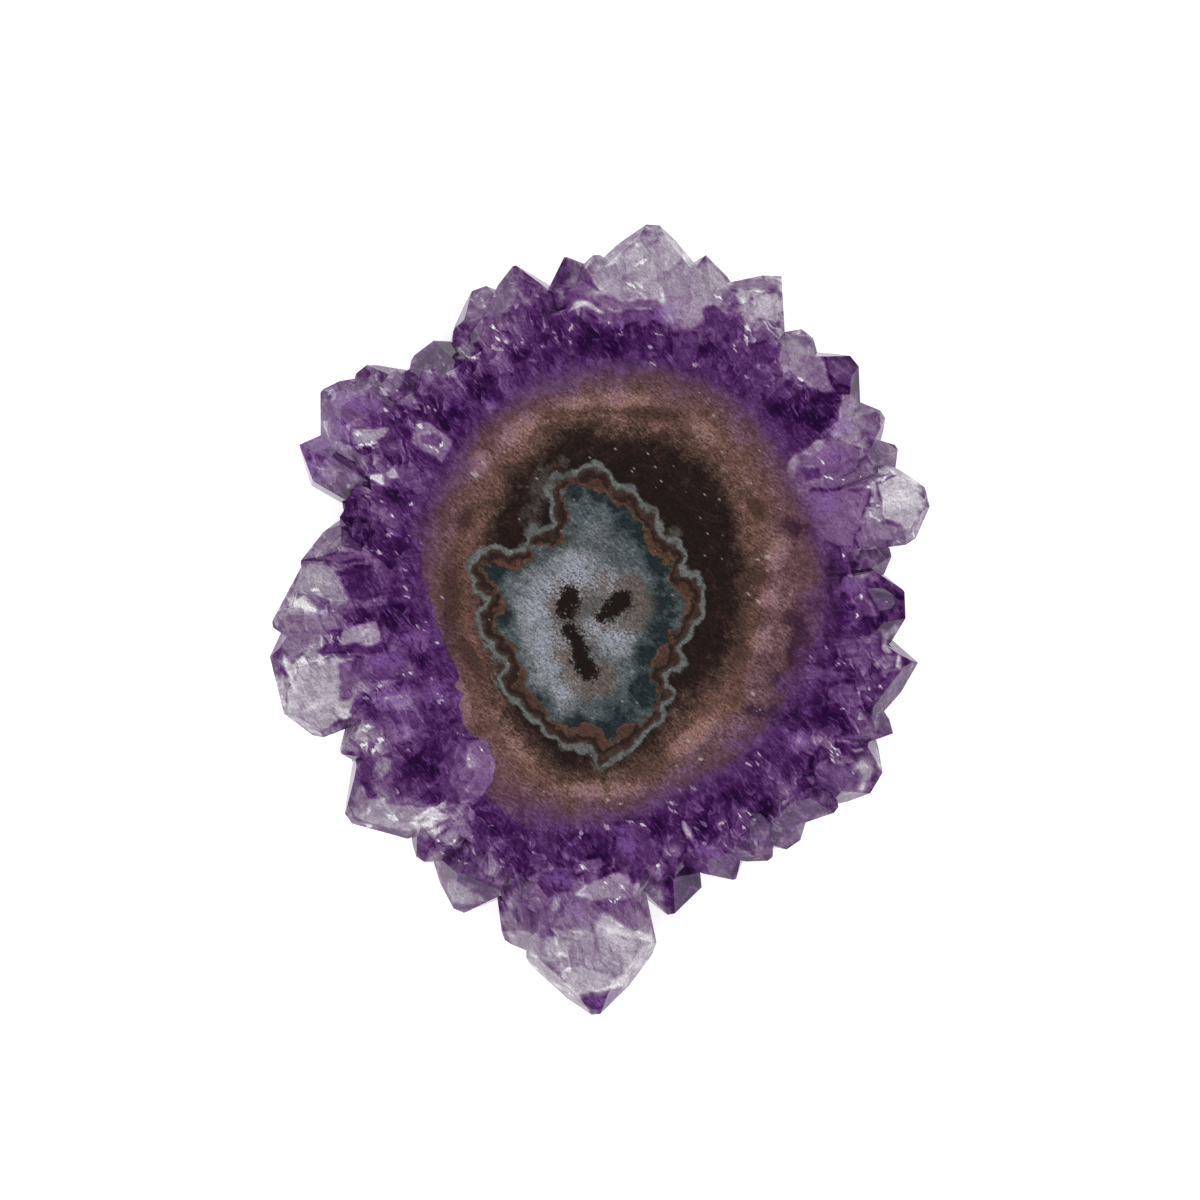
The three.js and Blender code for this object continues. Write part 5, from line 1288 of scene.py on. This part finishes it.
class AgateSettings(bpy.types.PropertyGroup):
    """The agate core's surface and colours."""

    spacing: FloatProperty(
        name="Square", description="Side of the squares the flat faces are cut into", default=1.2 * MM,
        min=0.5 * MM, unit="LENGTH",
    )
    roughness: FloatProperty(name="Roughness", description="Polish of the cut", default=0.3, min=0, max=1)
    darkest: StringProperty(name="Darkest", description="Spots and darkest agate", default="#180b07")
    dark: StringProperty(name="Dark agate", description="Round the nodule", default="#26150f")
    dark_mottle: StringProperty(name="Dark mottle", description="Grains in it", default="#47302a")
    brown: StringProperty(name="Brown agate", description="Where the dark ends", default="#4b3630")
    line: StringProperty(name="Line", description="Thin grey-green band", default="#676d6a")
    band_brown: StringProperty(name="Brown", description="Inside the thin band", default="#412e27")
    band_dark: StringProperty(name="Dark brown", description="Next band", default="#281a15")
    band_rust: StringProperty(name="Rust", description="Innermost band", default="#51382e")
    blur: StringProperty(name="Blur", description="Soft patches outside the line", default="#5c564e")
    rust_edge: StringProperty(name="Rust edge", description="Where it ends", default="#70503f")
    teal: StringProperty(name="Teal", description="Dark patches", default="#1b2729")
    slate: StringProperty(name="Slate", description="Ground of the nodule", default="#50595b")
    grey: StringProperty(name="Grey", description="Towards the middle", default="#7c7f84")
    chalcedony: StringProperty(name="Chalcedony", description="Pale patches", default="#9799a6")
    rust: StringProperty(name="Rust grain", description="Round the spots", default="#68564e")
    film: StringProperty(name="Film", description="Quartz over the halo", default="#705a72")
    # Also the colour of the painted highlights on the cracks.
    speck_and_glint: StringProperty(name="Specks", description="Bright specks", default="#b5a8a6")


class AmethystSettings(bpy.types.PropertyGroup):
    """The amethyst crust's surface and colours, and the halo's, which the core shares."""

    spacing: FloatProperty(
        name="Square", description="Side of the squares the flat faces are cut into", default=1.2 * MM,
        min=0.5 * MM, unit="LENGTH",
    )
    longest_edge: FloatProperty(
        name="Longest edge", description="Longest edge left on the crystals' own faces", default=1.0 * MM,
        min=0.3 * MM, unit="LENGTH",
    )
    overlap: FloatProperty(
        name="Overlap", description="How far the crust reaches into the core, to close the joint",
        default=0.5 * MM, min=0, unit="LENGTH",
    )
    roughness: FloatProperty(name="Roughness", description="Polish of the cut", default=0.12, min=0, max=1)
    density: FloatProperty(
        name="Density", description="Strength of the colour in the depth, per metre", default=200, min=0
    )
    halo_dark: StringProperty(name="Dark halo", description="Its darker grains", default="#4a332c")
    halo: StringProperty(name="Halo", description="Brown round the dark agate", default="#694a42")
    halo_light: StringProperty(name="Light halo", description="Its lighter grains", default="#8e6b63")
    mauve_dark: StringProperty(name="Dark mauve", description="Its darker grains", default="#3f2437")
    mauve: StringProperty(name="Mauve", description="Where the halo ends", default="#66474f")
    mauve_light: StringProperty(name="Light mauve", description="Its lighter grains", default="#8e6c76")
    root_dark: StringProperty(name="Dark root", description="Purple at the roots", default="#3c2043")
    root_light: StringProperty(name="Light root", description="Its lighter grains", default="#714f7a")
    darkest: StringProperty(name="Darkest", description="Deep patches", default="#250b35")
    deep_purple: StringProperty(name="Deep purple", description="Above the roots", default="#411a51")
    purple: StringProperty(name="Purple", description="Half way out", default="#623c71")
    lilac: StringProperty(name="Lilac", description="Towards the tips", default="#86668f")
    clear: StringProperty(name="Clear", description="Palest tips", default="#b3a3b8")
    # The white of the painted highlights on the cracks that catch the light.
    white: StringProperty(name="White", description="Cracks that catch the light", default="#f0ecf0")
    bright_violet: StringProperty(name="Bright violet", description="Patches", default="#875aa6")
    absorbed: StringProperty(name="Depth colour", description="Colour of the depth", default="#a884c8")


class StageSettings(bpy.types.PropertyGroup):
    """Floor, light and camera."""

    floor_size: FloatProperty(
        name="Floor", description="Side of the floor", default=12.0, min=0.3, unit="LENGTH"
    )
    floor_colour: StringProperty(name="Floor colour", description="Pale paper", default="#f4f4f4")
    light_strength: FloatProperty(
        name="Side light", description="Power of each softbox in watts", default=0.75, min=0
    )
    lens: FloatProperty(name="Lens", description="Focal length in millimetres", default=100.0, min=1)
    view_width: FloatProperty(
        name="View width", description="Width of the view at the slice", default=96 * MM, unit="LENGTH"
    )


# ---- operators ----


class MakeAgateCore(bpy.types.Operator):
    """Makes the agate core from its solid, with finely divided cuts that carry the bands"""

    bl_idname = "slice.agate_core"
    bl_label = "Agate core"

    def execute(self, context):
        settings = context.scene.slice_agate
        bm = working_copy(CORE_NODE)
        cut_in_squares(bm, settings.spacing)
        refine_cuts(bm, *CORE_FINENESS)
        piece = new_piece("agate_core_polished", bm)
        mesh = piece.data
        flat = shared_fields(mesh)[:, :2]
        put_values(mesh, "into_nodule", distance_into(smoothed(NODULE, 4), flat))
        put_values(mesh, "spot", distance_to_chains(SPOTS, flat))
        soft = {"chalcedony": CHALCEDONY, "teal": TEAL, "rust": RUST, "pocket": POCKETS, "blur": BLUR}
        for name, rows in soft.items():
            put_values(mesh, name, patches(rows, flat))
        mesh.materials.append(agate_material(settings, context.scene.slice_amethyst))
        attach(piece, "root")
        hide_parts(CORE_NODE)
        return {"FINISHED"}


class MakeAmethystCrust(bpy.types.Operator):
    """Makes the amethyst crust from its solid, with faces fine enough to carry the zoning and the veils"""

    bl_idname = "slice.amethyst_crust"
    bl_label = "Amethyst crust"

    def execute(self, context):
        settings = context.scene.slice_amethyst
        bm = working_copy(CRUST_NODE)
        self.close_joint(bm, settings.overlap / MM)
        cut_in_squares(bm, settings.spacing)
        refine_cuts(bm, *CRUST_FINENESS)
        self.refine_facets(bm, settings.longest_edge)
        piece = new_piece("amethyst_crust_crystals", bm)
        places = shared_fields(piece.data)
        self.store_marks(piece.data, places)
        self.store_crystals(piece.data, places)
        piece.data.materials.append(amethyst_material(settings))
        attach(piece, "root")
        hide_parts(CRUST_NODE)
        return {"FINISHED"}

    @staticmethod
    def close_joint(bm, overlap):
        """Moves the wall of the hole inwards, so that the crust meets the core, and sets both cuts back a
        little, so that the crust's faces don't lie in the core's."""
        for v in bm.verts:
            x, y = v.co.x / MM - AXIS[0], v.co.y / MM - AXIS[1]
            radius = math.hypot(x, y)
            edge = float(radius_at(CORE_RADII, np.array([math.degrees(math.atan2(y, x))]))[0])
            if radius < edge + HOLE_WALL:
                share = (radius - overlap) / radius
                v.co.x = (x * share + AXIS[0]) * MM
                v.co.y = (y * share + AXIS[1]) * MM
            if abs(v.co.z / MM - THICKNESS) < TOUCHING:
                v.co.z -= SET_BACK * MM
            elif abs(v.co.z) < TOUCHING * MM:
                v.co.z += SET_BACK * MM

    @staticmethod
    def refine_facets(bm, longest):
        """Divides the crystals' own faces until no edge is long."""
        bmesh.ops.triangulate(bm, faces=[f for f in bm.faces if not on_cut(f)])
        for _ in range(MOST_HALVINGS):
            facets = [f for f in bm.faces if not on_cut(f)]
            edges = {e for f in facets for e in f.edges if e.calc_length() > longest}
            if not edges:
                break
            bmesh.ops.subdivide_edges(bm, edges=list(edges), cuts=1, use_grid_fill=True)
            bmesh.ops.triangulate(bm, faces=[f for f in bm.faces if len(f.verts) > 4])

    @staticmethod
    def store_marks(mesh, places):
        """Stores what shows in the quartz under the upper cut."""
        flat, upper = places[:, :2], upper_share(places)
        for name, rows in (("veil", VEILS), ("violet", VIOLETS), ("deep", DEEPS)):
            put_values(mesh, name, marks(rows, flat) * upper)
        bent = flat + WAVER * np.sin(places[:, 1::-1] * WAVER_PITCH + WAVER_START)
        level, cover, outline = painted(SHAPES, bent, SHAPE_SOFTNESS)
        put_values(mesh, "level", level)
        put_values(mesh, "cover", cover * upper)
        put_values(mesh, "outline", outline * upper)

    @staticmethod
    def store_crystals(mesh, places):
        """Stores how each corner lies in its crystal, and how pale and how light that is. On a cut a corner
        belongs to the crystal that it is deepest in, and elsewhere to the one whose face it is on."""
        centres = vectors_of(mesh.polygons, "center") / MM
        normals = vectors_of(mesh.polygons, "normal")
        point = values_of(mesh.loops, "vertex_index", int)
        face = np.repeat(np.arange(len(mesh.polygons)), values_of(mesh.polygons, "loop_total", int))
        corner = places[point]
        flat = np.abs(normals[:, 2])[face] > UPRIGHT

        rows = LARGE_CRYSTALS + small_crystals()
        crystals = [crystal_from(row) for row in rows]
        grown = owner_of(crystals, centres - normals * JUST_INSIDE)[face]
        owner = np.where(flat, owner_of(crystals, places)[point], grown)
        away = corner - np.array([crystal.tip for crystal in crystals])[grown]
        back = -np.sum(away * np.array([crystal.axis for crystal in crystals])[grown], axis=1)
        aside = np.sum(away * np.array([crystal.across for crystal in crystals])[grown], axis=1)
        pale, light = (np.array([row[k] for row in rows])[owner] for k in (9, 10))
        put_values(mesh, "facet_shade_and_tone", painted_facet_shade_and_tone(crystals, corner, owner), "CORNER")
        put_values(mesh, "back", back, "CORNER")
        put_values(mesh, "pale", pale, "CORNER")
        # The crystals' own faces get painted shade: their lightness is lowered below the cut's.
        put_values(mesh, "light", light - np.where(flat, 0, PAINTED_RIM_SHADE), "CORNER")
        growth = mesh.attributes.new("growth", "FLOAT_VECTOR", "CORNER")
        vectors = np.stack([back, aside, owner * GROWTH_STEP + corner[:, 2] * GROWTH_RISE], axis=1)
        growth.data.foreach_set("vector", vectors.astype(np.float32).ravel())


class MakeStage(bpy.types.Operator):
    """Makes the pale floor, the soft light from the sides and the camera above"""

    bl_idname = "slice.stage"
    bl_label = "Stage"

    def execute(self, context):
        settings = context.scene.slice_stage
        context.scene.view_settings.view_transform = "Standard"
        self.make_floor(settings)
        self.make_lights(settings)
        self.make_camera(settings)
        return {"FINISHED"}

    @staticmethod
    def make_floor(settings):
        """Matt white paper without gloss, which glows a little, so that it looks pure white."""
        bm = bmesh.new()
        bmesh.ops.create_grid(bm, x_segments=1, y_segments=1, size=settings.floor_size / 2)
        bmesh.ops.translate(bm, verts=bm.verts, vec=(0, 0, -FLOOR_DROP * MM))
        floor = new_piece("stage_floor", bm)
        material, _, shader, _ = new_material("matt_white_paper")
        shader.inputs["Base Color"].default_value = srgb(settings.floor_colour)
        shader.inputs["Roughness"].default_value = 0.9
        shader.inputs["Specular IOR Level"].default_value = 0.1
        shader.inputs["Emission Color"].default_value = WHITE
        shader.inputs["Emission Strength"].default_value = FLOOR_GLOW
        floor.data.materials.append(material)

    @staticmethod
    def make_lights(settings):
        """A faint white sky, and four softboxes that look at the slice from above its sides."""
        world = bpy.data.worlds.new("studio")
        bpy.context.scene.world = world
        world.use_nodes = True
        background = world.node_tree.nodes["Background"]
        background.inputs["Color"].default_value = WHITE
        background.inputs["Strength"].default_value = SKY_STRENGTH
        lift = math.radians(SOFTBOX_LIFT)
        for number, bearing in enumerate(SOFTBOX_BEARINGS):
            light = bpy.data.lights.new(f"softbox_{number}", "AREA")
            light.shape = "SQUARE"
            light.size = SOFTBOX_SIZE
            light.energy = settings.light_strength
            lamp = bpy.data.objects.new(f"softbox_{number}", light)
            bpy.context.scene.collection.objects.link(lamp)
            turn = math.radians(bearing)
            lamp.location = (
                SOFTBOX_DISTANCE * math.cos(lift) * math.cos(turn),
                SOFTBOX_DISTANCE * math.cos(lift) * math.sin(turn),
                SOFTBOX_DISTANCE * math.sin(lift),
            )
            lamp.rotation_euler = lamp.location.to_track_quat("Z", "Y").to_euler()

    @staticmethod
    def make_camera(settings):
        """A camera that looks straight down."""
        camera_data = bpy.data.cameras.new("camera")
        camera_data.lens = settings.lens
        camera_data.sensor_width = SENSOR_WIDTH
        camera_data.clip_start = NEAREST_SEEN
        camera = bpy.data.objects.new("camera", camera_data)
        bpy.context.scene.collection.objects.link(camera)
        height = settings.view_width * settings.lens / SENSOR_WIDTH
        camera.location = (0, VIEW_MIDDLE * MM, VIEW_LEVEL * MM + height)
        camera.rotation_euler = (0, 0, 0)
        bpy.context.scene.camera = camera


class SlicePanel(bpy.types.Panel):
    """Lists what makes the slice"""

    bl_idname = "VIEW3D_PT_slice"
    bl_label = "Crystal stalactite slice"
    bl_space_type = "VIEW_3D"
    bl_region_type = "UI"
    bl_category = "Slice"

    def draw(self, context):
        for kind in (MakeAgateCore, MakeAmethystCrust, MakeStage):
            self.layout.operator(kind.bl_idname)
        for name in ("slice_agate", "slice_amethyst", "slice_stage"):
            group = getattr(context.scene, name)
            box = self.layout.box()
            for key in group.bl_rna.properties.keys():
                if key not in ("rna_type", "name"):
                    box.prop(group, key)


CLASSES = (
    AgateSettings,
    AmethystSettings,
    StageSettings,
    MakeAgateCore,
    MakeAmethystCrust,
    MakeStage,
    SlicePanel,
)


def register():
    for kind in CLASSES:
        bpy.utils.register_class(kind)
    bpy.types.Scene.slice_agate = PointerProperty(type=AgateSettings)
    bpy.types.Scene.slice_amethyst = PointerProperty(type=AmethystSettings)
    bpy.types.Scene.slice_stage = PointerProperty(type=StageSettings)


def unregister():
    del bpy.types.Scene.slice_stage
    del bpy.types.Scene.slice_amethyst
    del bpy.types.Scene.slice_agate
    for kind in reversed(CLASSES):
        bpy.utils.unregister_class(kind)


def main():
    """Makes everything."""
    register()
    bpy.ops.slice.stage()
    bpy.ops.slice.agate_core()
    bpy.ops.slice.amethyst_crust()


if __name__ == "__main__":
    main()
